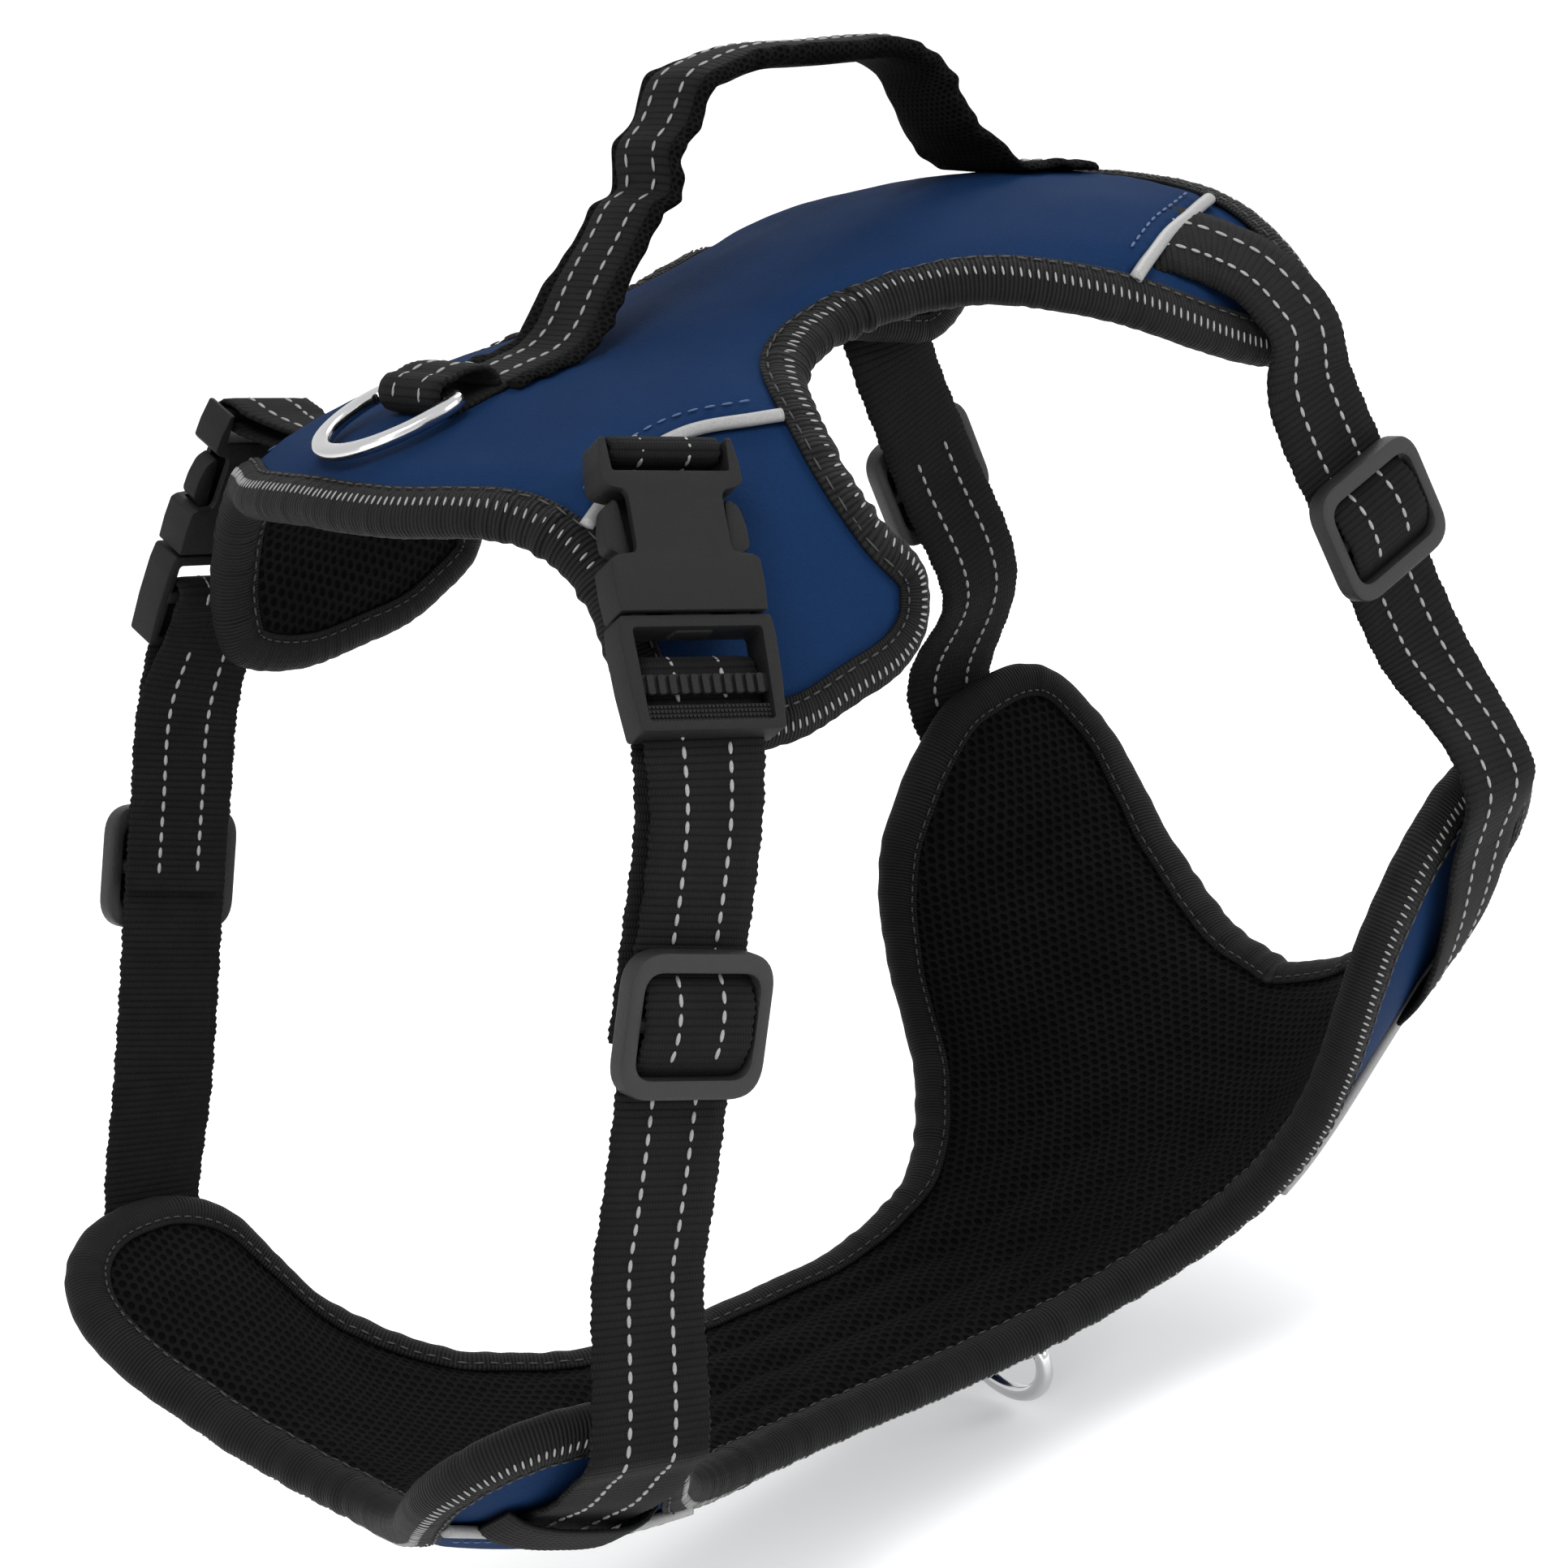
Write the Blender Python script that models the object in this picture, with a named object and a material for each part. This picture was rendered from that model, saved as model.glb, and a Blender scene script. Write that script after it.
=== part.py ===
"""A padded no-pull dog harness, in metres.

+X points to the dog's head, +Y to its left and +Z up. The origin is where the back panel's
padding rests on the dog's spine. Sizes are those of a harness on 25 mm webbing, for a chest
of about 700 mm girth. The left side is modelled and the right side mirrors it.
"""

import math

import bmesh
import bpy
from mathutils import Matrix, Vector

# Webbing, padding and trim.
WEB_WIDTH = 0.025
WEB_THICK = 0.0016
GAP = 0.0004  # left between pieces that touch
LINING = 0.0011
FOAM = 0.0030
SHELL = 0.0009
COVER = 0.0016
FOAM_LOW = LINING + GAP
SHELL_LOW = FOAM_LOW + FOAM + GAP
SHELL_TOP = SHELL_LOW + SHELL
COVER_LOW = SHELL_TOP + GAP
COVER_TOP = COVER_LOW + COVER
BINDING_REACH = 0.0088  # how far the edge tape laps over the pad
BINDING_THICK = 0.0010
BINDING_GAP = 0.0009  # between the tape and the pad, which both follow curves in flats
BINDING_TOP = SHELL_TOP + BINDING_GAP + BINDING_THICK
PIPING_RADIUS = 0.0012
EDGE_STEP = 0.0110  # spacing of points along a pad's edge
GRID_ALONG = 0.026  # spacing of the grid that lets a pad follow the body, along it
GRID_ROUND = 0.0105  # and round it

# Back panel: an arch with a flat crown, round shoulders and straight sides.
CROWN_RADIUS = 0.25
CROWN_HALF = 0.042
SHOULDER_RADIUS = 0.042
SIDE_ANGLE = math.radians(80)
RIDGE = [(-0.119, -0.013), (-0.105, -0.0108), (-0.085, -0.0082), (-0.060, -0.0062), (-0.030, -0.0050),
         (0.0, -0.0035), (0.027, -0.0013), (0.050, -0.0008), (0.071, -0.003), (0.102, -0.010), (0.120, -0.014)]
ARCH_SPREAD = [(-0.120, 0.97), (-0.080, 1.0), (-0.010, 1.0), (0.040, 0.94), (0.080, 0.84),
               (0.110, 0.78)]

# Chest plate: distance along its centre line, with that point's x and z, and the bend round the body.
KEEL = [(0.0, -0.161, -0.2005), (0.037, -0.129, -0.216), (0.105, -0.064, -0.2293),
        (0.175, 0.005, -0.2368), (0.231, 0.059, -0.2297), (0.294, 0.114, -0.2017)]
BOWL_BEND = [(0.0, 8.6), (0.080, 9.0), (0.175, 10.3), (0.260, 11.8), (0.300, 12.0)]

# Left half of each edge, from the rear centre to the front centre: (along the body, round the body).
BACK_EDGE = [(-0.110, 0.0), (-0.110, 0.014), (-0.108, 0.027), (-0.102, 0.042), (-0.095, 0.057),
             (-0.094, 0.074), (-0.096, 0.089), (-0.094, 0.101), (-0.082, 0.110), (-0.063, 0.1135),
             (-0.043, 0.1125), (-0.029, 0.1065), (-0.025, 0.096), (-0.030, 0.084), (-0.0305, 0.070),
             (-0.0245, 0.0560), (-0.0150, 0.0465), (-0.0030, 0.0425), (0.0100, 0.0442), (0.0240, 0.0530),
             (0.0405, 0.0670), (0.0550, 0.0775), (0.0700, 0.0860), (0.0850, 0.0905), (0.0990, 0.0900),
             (0.1085, 0.0790), (0.1085, 0.0600), (0.1078, 0.0450), (0.1080, 0.0280), (0.1070, 0.0120),
             (0.1060, 0.0)]
CHEST_EDGE = [(0.0, 0.0), (-0.005, 0.020), (-0.015, 0.042), (-0.025, 0.060), (-0.029, 0.076),
              (-0.022, 0.092), (-0.004, 0.101), (0.014, 0.100), (0.031, 0.084), (0.048, 0.064),
              (0.067, 0.048), (0.094, 0.038), (0.130, 0.037), (0.165, 0.039), (0.192, 0.046),
              (0.213, 0.061), (0.235, 0.083), (0.260, 0.101), (0.288, 0.112), (0.312, 0.113),
              (0.330, 0.102), (0.332, 0.084), (0.322, 0.062), (0.309, 0.040), (0.299, 0.019),
              (0.294, 0.0)]
BACK_WING_SEAM = [(-0.082, 0.060), (-0.069, 0.055), (-0.055, 0.054), (-0.041, 0.058)]
BACK_NECK_SEAM = [(0.0590, 0.0655), (0.0650, 0.0630), (0.0740, 0.0590), (0.0840, 0.0550), (0.0925, 0.0510)]
CHEST_REAR_SEAM = [(-0.011, 0.058), (0.006, 0.053), (0.024, 0.051), (0.044, 0.055)]
CHEST_NECK_SEAM = [(0.228, 0.057), (0.246, 0.055), (0.280, 0.055), (0.303, 0.059)]

# Side-release buckle, measured along its axis from the mouth of its socket.
BUCKLE_TOP = Vector((-0.0725, 0.0724, -0.0036))
BUCKLE_END = Vector((-0.0920, 0.0958, -0.0477))
SOCKET_LENGTH = 0.033
BUCKLE_HALF = 0.0042  # half its thickness
PLUG_LENGTH = 0.0232
CHANNEL_HALF_WIDTH = 0.0128
CHANNEL_HALF_HEIGHT = 0.0027
PRONG_LENGTH = 0.0215
PRONG_ROOT = (0.0008, 0.0107)  # along and across, on the squeeze axis

# Slider buckles.
SLIDER_LENGTH = 0.027
SLIDER_WIDTH = 0.031
SLIDER_LOW = 0.0025  # back face over the middle of the webbing it rides on
SLIDER_THICK = 0.0030
SLIDER_WINDOW_AT = 0.0064  # middle of each window, from the slider's middle bar
SLIDER_WINDOW_HALF = 0.0048
WRAP_THICK = 0.0010
STRAP_OUTWARD = Vector((0, 1, 0.05))  # the way the hanging webbing faces
GIRTH_SLIDER_AT = Vector((-0.1130, 0.0963, -0.098))
NECK_SLIDER_AT = Vector((0.0985, 0.0720, -0.078))
GIRTH_RUN = (Vector((-0.0985, 0.0980, -0.0650)), Vector((-0.1280, 0.0945, -0.1320)))
NECK_RUN = (Vector((0.0915, 0.0705, -0.0470)), Vector((0.1050, 0.0745, -0.1090)))

# Rings: the straight bar lies across the body.
RING_HALF_WIDTH = 0.0150
RING_BAR = 0.0034  # thickness of the metal
LEASH_RING_AT = Vector((-0.076, 0.0, 0.0048))
LEASH_RING_REACH = 0.024
CHEST_RING_AT = Vector((0.006, 0.0, -0.2500))
CHEST_RING_REACH = 0.015
LEASH_RING_TILT = math.radians(-10)
RING_LOOP_WIDTH = 0.022

# Handle, as (x, z) along the middle of its webbing.
HANDLE = [(-0.054, 0.0034), (-0.0460, 0.0040), (-0.0405, 0.0066), (-0.0350, 0.0118), (-0.0270, 0.0196),
          (-0.0190, 0.0270), (-0.0105, 0.0345), (-0.0030, 0.0425), (0.0050, 0.0478), (0.0160, 0.0480),
          (0.0300, 0.0458), (0.0430, 0.0430), (0.0540, 0.0400), (0.0620, 0.0335), (0.0655, 0.0240),
          (0.0690, 0.0145), (0.0722, 0.0082), (0.0775, 0.0058), (0.0860, 0.0037), (0.0960, 0.0006)]
SLEEVE_THICK = 0.0036
SLEEVE_FROM = 0.020  # height at which the padding starts

FABRIC_BLUE = (0.018, 0.050, 0.145, 1.0)
FABRIC_BLACK = (0.010, 0.010, 0.011, 1.0)
FOAM_GREY = (0.08, 0.08, 0.085, 1.0)
REFLECTIVE = (0.30, 0.30, 0.31, 1.0)
PLASTIC = (0.018, 0.018, 0.019, 1.0)
CHROME = (0.78, 0.78, 0.80, 1.0)

SHARP = math.radians(35)  # edges sharper than this are shaded as edges
MIRROR = Matrix.Scale(-1, 4, Vector((0, 1, 0)))
SIDES = (("left", Matrix.Identity(4)), ("right", MIRROR))


# ---- Curves and surfaces ----

def curve_at(table, where):
    """A smooth curve through the table's rows, whose first value is the place along it."""
    last = len(table) - 1
    i = max(k for k in range(last) if k == 0 or table[k][0] <= where)
    a, b = table[i], table[i + 1]
    before, after = table[max(i - 1, 0)], table[min(i + 2, last)]
    step = b[0] - a[0]
    part = (where - a[0]) / step
    values = []
    for col in range(1, len(a)):
        slope_a = (b[col] - before[col]) / (b[0] - before[0]) * step
        slope_b = (after[col] - a[col]) / (after[0] - a[0]) * step
        if part < 0:
            values.append(a[col] + slope_a * part)
        elif part > 1:
            values.append(b[col] + slope_b * (part - 1))
        else:
            h = (2 * part**3 - 3 * part**2 + 1, part**3 - 2 * part**2 + part,
                 3 * part**2 - 2 * part**3, part**3 - part**2)
            values.append(h[0] * a[col] + h[1] * slope_a + h[2] * b[col] + h[3] * slope_b)
    return values


def resample(points, step):
    """Points at an even spacing along a smooth open curve; values after the third only ride along."""
    rows = []
    run = 0.0
    for k, point in enumerate(points):
        run += (Vector(point[:3]) - Vector(points[k - 1][:3])).length if k else 0.0
        rows.append((run, *point))
    count = max(2, round(run / step))
    return [Vector(curve_at(rows, run * k / count)) for k in range(count + 1)]


def arch_point(along, around):
    """A point of the back panel's underside."""
    t = abs(around)
    side = 1.0 if around >= 0 else -1.0
    crown = CROWN_HALF / CROWN_RADIUS
    shoulder_end = CROWN_HALF + SHOULDER_RADIUS * (SIDE_ANGLE - crown)
    angle = min(t, CROWN_HALF) / CROWN_RADIUS
    angle += max(0.0, min(t, shoulder_end) - CROWN_HALF) / SHOULDER_RADIUS
    flat = min(angle, crown)
    y = CROWN_RADIUS * math.sin(flat) + SHOULDER_RADIUS * (math.sin(angle) - math.sin(flat))
    z = CROWN_RADIUS * (math.cos(flat) - 1) + SHOULDER_RADIUS * (math.cos(angle) - math.cos(flat))
    straight = max(0.0, t - shoulder_end)
    y += straight * math.cos(SIDE_ANGLE)
    z -= straight * math.sin(SIDE_ANGLE)
    return Vector((along, side * y * curve_at(ARCH_SPREAD, along)[0], curve_at(RIDGE, along)[0] + z))


def arch_place(along, around, depth):
    """Point and outward normal of the back panel, at a depth above the dog."""
    step = 0.004
    ahead = arch_point(along + step, around) - arch_point(along - step, around)
    aside = arch_point(along, around + step) - arch_point(along, around - step)
    normal = ahead.cross(aside).normalized()
    return arch_point(along, around) + normal * depth, normal


def bowl_place(along, around, depth):
    """Point and outward normal of the chest plate, at a depth outside the dog."""
    x, z = curve_at(KEEL, along)
    ahead = Vector(curve_at(KEEL, along + 0.001)) - Vector(curve_at(KEEL, along - 0.001))
    ahead.normalize()
    inward = Vector((-ahead.y, 0.0, ahead.x))
    bend = curve_at(BOWL_BEND, along)[0]
    angle = bend * around
    normal = Vector((0, math.sin(angle), 0)) - inward * math.cos(angle)
    rise = (1 - math.cos(angle)) / bend
    point = Vector((x, math.sin(angle) / bend, z)) + inward * rise + normal * depth
    return point, normal


def whole(half):
    """A closed outline from its left half."""
    return half + [Vector((p[0], -p[1])) for p in reversed(half[1:-1])]


def inset(outline, distance):
    """A closed outline moved inward."""
    moved = []
    for k, point in enumerate(outline):
        run = (outline[(k + 1) % len(outline)] - outline[k - 1]).normalized()
        moved.append(point + Vector((run.y, -run.x)) * distance)
    return moved


def trimmed(half, seam):
    """The half outline, with the stretch beyond a seam replaced by the seam."""
    ends = []
    for corner in (seam[0], seam[-1]):
        gaps = [(p - Vector(corner)).length for p in half]
        ends.append(gaps.index(min(gaps)))
    return half[:ends[0]] + resample(seam, 0.008) + half[ends[1] + 1:]


# ---- Meshes ----

def material(name, colour, roughness, metallic=0.0):
    made = bpy.data.materials.new(name)
    made.use_nodes = True
    shader = made.node_tree.nodes["Principled BSDF"]
    shader.inputs["Base Color"].default_value = colour
    shader.inputs["Roughness"].default_value = roughness
    shader.inputs["Metallic"].default_value = metallic
    made.diffuse_color = colour
    return made


def finish(bm, name, look, pivot=None, transform=None):
    """Turns a bmesh into a node, with its origin at the pivot."""
    if transform is not None:
        bm.transform(transform)
    bmesh.ops.recalc_face_normals(bm, faces=bm.faces)
    if bm.calc_volume(signed=True) < 0:
        bmesh.ops.reverse_faces(bm, faces=bm.faces)
    if pivot is not None:
        pivot = transform @ pivot if transform is not None else pivot
        bm.transform(Matrix.Translation(-pivot))
    mesh = bpy.data.meshes.new(name)
    bm.to_mesh(mesh)
    bm.free()
    obj = bpy.data.objects.new(name, mesh)
    bpy.context.scene.collection.objects.link(obj)
    obj.location = pivot if pivot is not None else (0, 0, 0)
    mesh.materials.append(material(name, *look))
    mesh.shade_smooth()
    mesh.set_sharp_from_angle(angle=SHARP)
    return obj


def skin(bm, rings, closed):
    """Bridges rings of points that follow one another, and caps the ends of an open run."""
    loops = [[bm.verts.new(point) for point in ring] for ring in rings]
    pairs = list(zip(loops, loops[1:]))
    if closed:
        pairs.append((loops[-1], loops[0]))
    else:
        bm.faces.new(loops[0])
        bm.faces.new(reversed(loops[-1]))
    for a, b in pairs:
        for k in range(len(a)):
            n = (k + 1) % len(a)
            bm.faces.new((a[k], b[k], b[n], a[n]))


def layer(name, outline, place, low, high, look):
    """One flat layer of a pad, cut to an outline and laid on the body's surface."""
    flat = bmesh.new()
    flat.faces.new([flat.verts.new((p.x, p.y, 0)) for p in outline])
    for axis, step in ((0, GRID_ALONG), (1, GRID_ROUND)):
        values = [p[axis] for p in outline]
        line = math.ceil(min(values) / step) * step
        while line < max(values):
            cut, across = Vector((0, 0, 0)), Vector((0, 0, 0))
            cut[axis], across[axis] = line, 1.0
            geometry = flat.verts[:] + flat.edges[:] + flat.faces[:]
            bmesh.ops.bisect_plane(flat, geom=geometry, dist=1e-5, plane_co=cut, plane_no=across)
            line += step
    bmesh.ops.remove_doubles(flat, verts=flat.verts, dist=0.0006)
    bmesh.ops.triangulate(flat, faces=flat.faces)
    flat.verts.index_update()
    bm = bmesh.new()
    levels = []
    for depth in (low, high):
        levels.append([bm.verts.new(place(v.co.x, v.co.y, depth)[0]) for v in flat.verts])
    for face in flat.faces:
        corners = [v.index for v in face.verts]
        bm.faces.new([levels[1][i] for i in corners])
        bm.faces.new([levels[0][i] for i in reversed(corners)])
    for edge in flat.edges:
        if edge.is_boundary:
            a, b = (v.index for v in edge.verts)
            bm.faces.new((levels[0][a], levels[0][b], levels[1][b], levels[1][a]))
    flat.free()
    return finish(bm, name, look)


def binding(name, outline, place, look):
    """Edge tape, folded over a pad's edge."""
    low, high = -BINDING_GAP - BINDING_THICK, BINDING_TOP
    inner = BINDING_THICK + 0.0004
    section = [(BINDING_REACH, low), (0.0010, low), (0.0, (low + high) / 2), (0.0010, high),
               (BINDING_REACH, high), (BINDING_REACH, high - BINDING_THICK),
               (inner, high - BINDING_THICK), (inner, low + BINDING_THICK),
               (BINDING_REACH, low + BINDING_THICK)]
    offsets = {reach: inset(outline, reach) for reach, _ in section}
    rings = []
    for k in range(len(outline)):
        rings.append([place(*offsets[reach][k], depth)[0] for reach, depth in section])
    bm = bmesh.new()
    skin(bm, rings, closed=True)
    return finish(bm, name, look)


def piping(name, seam, place, look, transform):
    """A covered cord along the open end of a cover."""
    bm = bmesh.new()
    points = [place(*p, COVER_TOP + GAP + PIPING_RADIUS) for p in resample(seam, 0.007)]
    rings = []
    for k, (point, normal) in enumerate(points):
        run = points[min(k + 1, len(points) - 1)][0] - points[max(k - 1, 0)][0]
        across = normal.cross(run).normalized()
        turns = [math.radians(60 * i) for i in range(6)]
        around = [across * math.cos(a) + normal * math.sin(a) for a in turns]
        rings.append([point + direction * PIPING_RADIUS for direction in around])
    skin(bm, rings, closed=False)
    return finish(bm, name, look, transform=transform)


def ribbon(bm, path, width=WEB_WIDTH, thick=WEB_THICK, step=0.009):
    """A band along a path of points, each with the direction its outer face looks."""
    rows = resample([(*point, *normal) for point, normal in path], step)
    rings = []
    for k, row in enumerate(rows):
        run = Vector(rows[min(k + 1, len(rows) - 1)][:3]) - Vector(rows[max(k - 1, 0)][:3])
        across = Vector(row[3:]).cross(run).normalized()
        up = run.cross(across).normalized()
        middle = Vector(row[:3])
        rings.append([middle + across * (sx * width / 2) + up * (sz * thick / 2)
                      for sx, sz in ((-1, -1), (1, -1), (1, 1), (-1, 1))])
    skin(bm, rings, closed=False)


def bar_loop(bm, profile, width, thick, frame, closed=False):
    """A band folded round a bar: its profile is in the frame's first and third axes."""
    rings = []
    for k, (u, n) in enumerate(profile):
        before = profile[k - 1] if closed or k else profile[0]
        after = profile[(k + 1) % len(profile)] if closed else profile[min(k + 1, len(profile) - 1)]
        run = Vector((after[0] - before[0], after[1] - before[1])).normalized()
        side = Vector((-run.y, run.x)) * thick / 2
        rings.append([frame @ Vector((u + side.x * sn, width / 2 * sv, n + side.y * sn))
                      for sv, sn in ((-1, -1), (1, -1), (1, 1), (-1, 1))])
    skin(bm, rings, closed)


def frame_at(origin, run, outward):
    """Axes with the first along a strap and the third out of its face."""
    run = run.normalized()
    across = outward.cross(run).normalized()
    up = run.cross(across)
    axes = Matrix((run, across, up)).transposed().to_4x4()
    return Matrix.Translation(origin) @ axes


def rounded(length, width, radius, steps=3):
    """A rounded rectangle about the origin, as a loop of points."""
    points = []
    for quarter in range(4):
        cx = (length / 2 - radius) * (1 if quarter in (0, 3) else -1)
        cy = (width / 2 - radius) * (1 if quarter in (0, 1) else -1)
        for k in range(steps + 1):
            angle = math.radians(90) * (quarter + k / steps)
            points.append((cx + radius * math.cos(angle), cy + radius * math.sin(angle)))
    return points


def plate(bm, outline, windows, low, high):
    """A flat plate with windows, from its outline."""
    flat = bmesh.new()
    for loop in [outline] + windows:
        corners = [flat.verts.new((x, y, low)) for x, y in loop]
        for k, corner in enumerate(corners):
            flat.edges.new((corner, corners[(k + 1) % len(corners)]))
    bmesh.ops.triangle_fill(flat, edges=flat.edges, use_beauty=True, normal=(0, 0, 1))
    made = bmesh.ops.extrude_face_region(flat, geom=flat.faces[:])
    tops = [v for v in made["geom"] if isinstance(v, bmesh.types.BMVert)]
    bmesh.ops.translate(flat, verts=tops, vec=(0, 0, high - low))
    bmesh.ops.recalc_face_normals(flat, faces=flat.faces)
    part = bpy.data.meshes.new("plate")
    flat.to_mesh(part)
    flat.free()
    bm.from_mesh(part)
    bpy.data.meshes.remove(part)


def box(bm, us, vs, ns):
    """A box from its ranges along the three axes."""
    made = bmesh.ops.create_cube(bm, size=1.0)["verts"]
    centre = [(r[0] + r[1]) / 2 for r in (us, vs, ns)]
    size = [r[1] - r[0] for r in (us, vs, ns)]
    for vert in made:
        vert.co = Vector([c + v * s for c, v, s in zip(centre, vert.co, size)])


def cut(obj, boxes):
    """Cuts boxes out of a node in its own mesh, and joins what a union adds."""
    for k, (operation, *ranges) in enumerate(boxes):
        bm = bmesh.new()
        box(bm, *ranges)
        mesh = bpy.data.meshes.new(f"{obj.name}_cutter_{k}")
        bm.to_mesh(mesh)
        bm.free()
        cutter = bpy.data.objects.new(mesh.name, mesh)
        bpy.context.scene.collection.objects.link(cutter)
        cutter.hide_render = True
        cutter.display_type = "WIRE"
        cutter.parent = obj
        boolean = obj.modifiers.new(f"{operation.lower()}_{k}", "BOOLEAN")
        boolean.operation = operation
        boolean.solver = "EXACT"
        boolean.object = cutter


# ---- Pads ----

def pad(label, edge, seams, place):
    """Lining, foam, shell, raised cover, edge tape and piping of one pad."""
    half = resample([(*p,) for p in edge], EDGE_STEP)
    half = [Vector(p[:2]) for p in half]
    half[0].y = half[-1].y = 0.0
    outline = whole(half)
    inner = inset(outline, BINDING_THICK + 0.0016)
    layer(f"{label}_lining", inner, place, 0.0, LINING, (FABRIC_BLACK, 0.95))
    layer(f"{label}_foam", inner, place, FOAM_LOW, FOAM_LOW + FOAM, (FOAM_GREY, 0.9))
    layer(f"{label}_shell", inner, place, SHELL_LOW, SHELL_TOP, (FABRIC_BLUE, 0.7))
    cover = inset(outline, BINDING_REACH + 0.0012)[:len(half)]
    for seam in seams.values():
        cover = trimmed(cover, seam)
    cover[0].y = cover[-1].y = 0.0
    layer(f"{label}_cover", whole(cover), place, COVER_LOW, COVER_TOP, (FABRIC_BLUE, 0.7))
    binding(f"{label}_binding", outline, place, (FABRIC_BLACK, 0.8))
    for seam_name, seam in seams.items():
        for side, mirror in SIDES:
            piping(f"{label}_{seam_name}_piping_{side}", seam, place, (REFLECTIVE, 0.5), mirror)


# ---- Handle and rings ----

def handle():
    """The handle's webbing, with the padding sewn under its free span."""
    rows = resample(HANDLE, 0.008)
    outward = []
    for k, row in enumerate(rows):
        run = rows[min(k + 1, len(rows) - 1)] - rows[max(k - 1, 0)]
        outward.append((Vector((row.x, 0, row.y)), Vector((-run.y, 0, run.x)).normalized()))
    bm = bmesh.new()
    ribbon(bm, outward, step=0.008)
    finish(bm, "handle_webbing", (FABRIC_BLACK, 0.85))
    drop = (WEB_THICK + SLEEVE_THICK) / 2 + GAP
    free = [(p - n * drop, n) for p, n in outward if p.z > SLEEVE_FROM]
    bm = bmesh.new()
    ribbon(bm, free, width=WEB_WIDTH + 0.002, thick=SLEEVE_THICK, step=0.008)
    finish(bm, "handle_padding", (FABRIC_BLACK, 0.95))


def ring(name, at, forward, reach, side_axis):
    """A D ring of flat bar: its straight side on its pivot and its bow to one side."""
    half = RING_HALF_WIDTH
    bow = [(half * math.cos(a), 0.2 * reach + 0.8 * reach * math.sin(a))
           for a in (math.radians(180 * k / 12) for k in range(13))]
    path = [(half * 0.94, 0.0)] + bow + [(-half * 0.94, 0.0)]
    bar = RING_BAR / 2
    rings = []
    for k, (v, u) in enumerate(path):
        before, after = path[k - 1], path[(k + 1) % len(path)]
        run = Vector((after[0] - before[0], after[1] - before[1])).normalized()
        side = Vector((-run.y, run.x))
        flat = 0.6 * bar
        section = [(-bar, -flat), (-flat, -bar), (flat, -bar), (bar, -flat),
                   (bar, flat), (flat, bar), (-flat, bar), (-bar, flat)]
        rings.append([at + side_axis * (v + side.x * s) + forward * (u + side.y * s)
                      + forward.cross(side_axis) * n for s, n in section])
    bm = bmesh.new()
    skin(bm, rings, closed=True)
    return finish(bm, name, (CHROME, 0.12, 1.0), pivot=at)


def fold(radius, reach, spread, half_turn, steps=6):
    """Profile of webbing folded round a bar at the origin, with its two ends apart."""
    turn = []
    for k in range(steps + 1):
        angle = half_turn * (1 - 2 * k / steps)
        turn.append((radius * math.cos(angle), radius * math.sin(angle)))
    near, end = spread
    return [(-reach, end), (-reach / 2, near), *turn, (-reach / 2, -near), (-reach, -end)]


def rings():
    """The two D rings and the webbing loops that hold them."""
    back = Vector((-1, 0, 0))
    down = Vector((0, 0, -1))
    across = Vector((0, 1, 0))
    tilt = Matrix.Rotation(LEASH_RING_TILT, 3, "Y")
    ring("leash_ring", LEASH_RING_AT, tilt @ back, LEASH_RING_REACH, across)
    ring("chest_ring", CHEST_RING_AT, down, CHEST_RING_REACH, across)
    radius = RING_BAR / 2 + GAP + WEB_THICK / 2 + 0.0002
    flat = fold(radius, 0.019, (0.0014, 0.0012), math.radians(110))
    open_fold = fold(radius - 0.0002, 0.0041, (0.0070, 0.0150), math.radians(115))
    for name, profile, at, run, outward in (
            ("leash_loop", flat, LEASH_RING_AT, back, Vector((0, 0, 1))),
            ("chest_ring_loop", open_fold, CHEST_RING_AT, down, Vector((1, 0, 0)))):
        bm = bmesh.new()
        bar_loop(bm, profile, RING_LOOP_WIDTH, WEB_THICK, frame_at(at, run, outward))
        finish(bm, name, (FABRIC_BLACK, 0.85))


# ---- Side-release buckle ----

def buckle_frame():
    run = BUCKLE_END - BUCKLE_TOP
    mouth = BUCKLE_TOP + run.normalized() * SOCKET_LENGTH
    return frame_at(mouth, run, Vector((0, 0.88, 0.48)))


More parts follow.
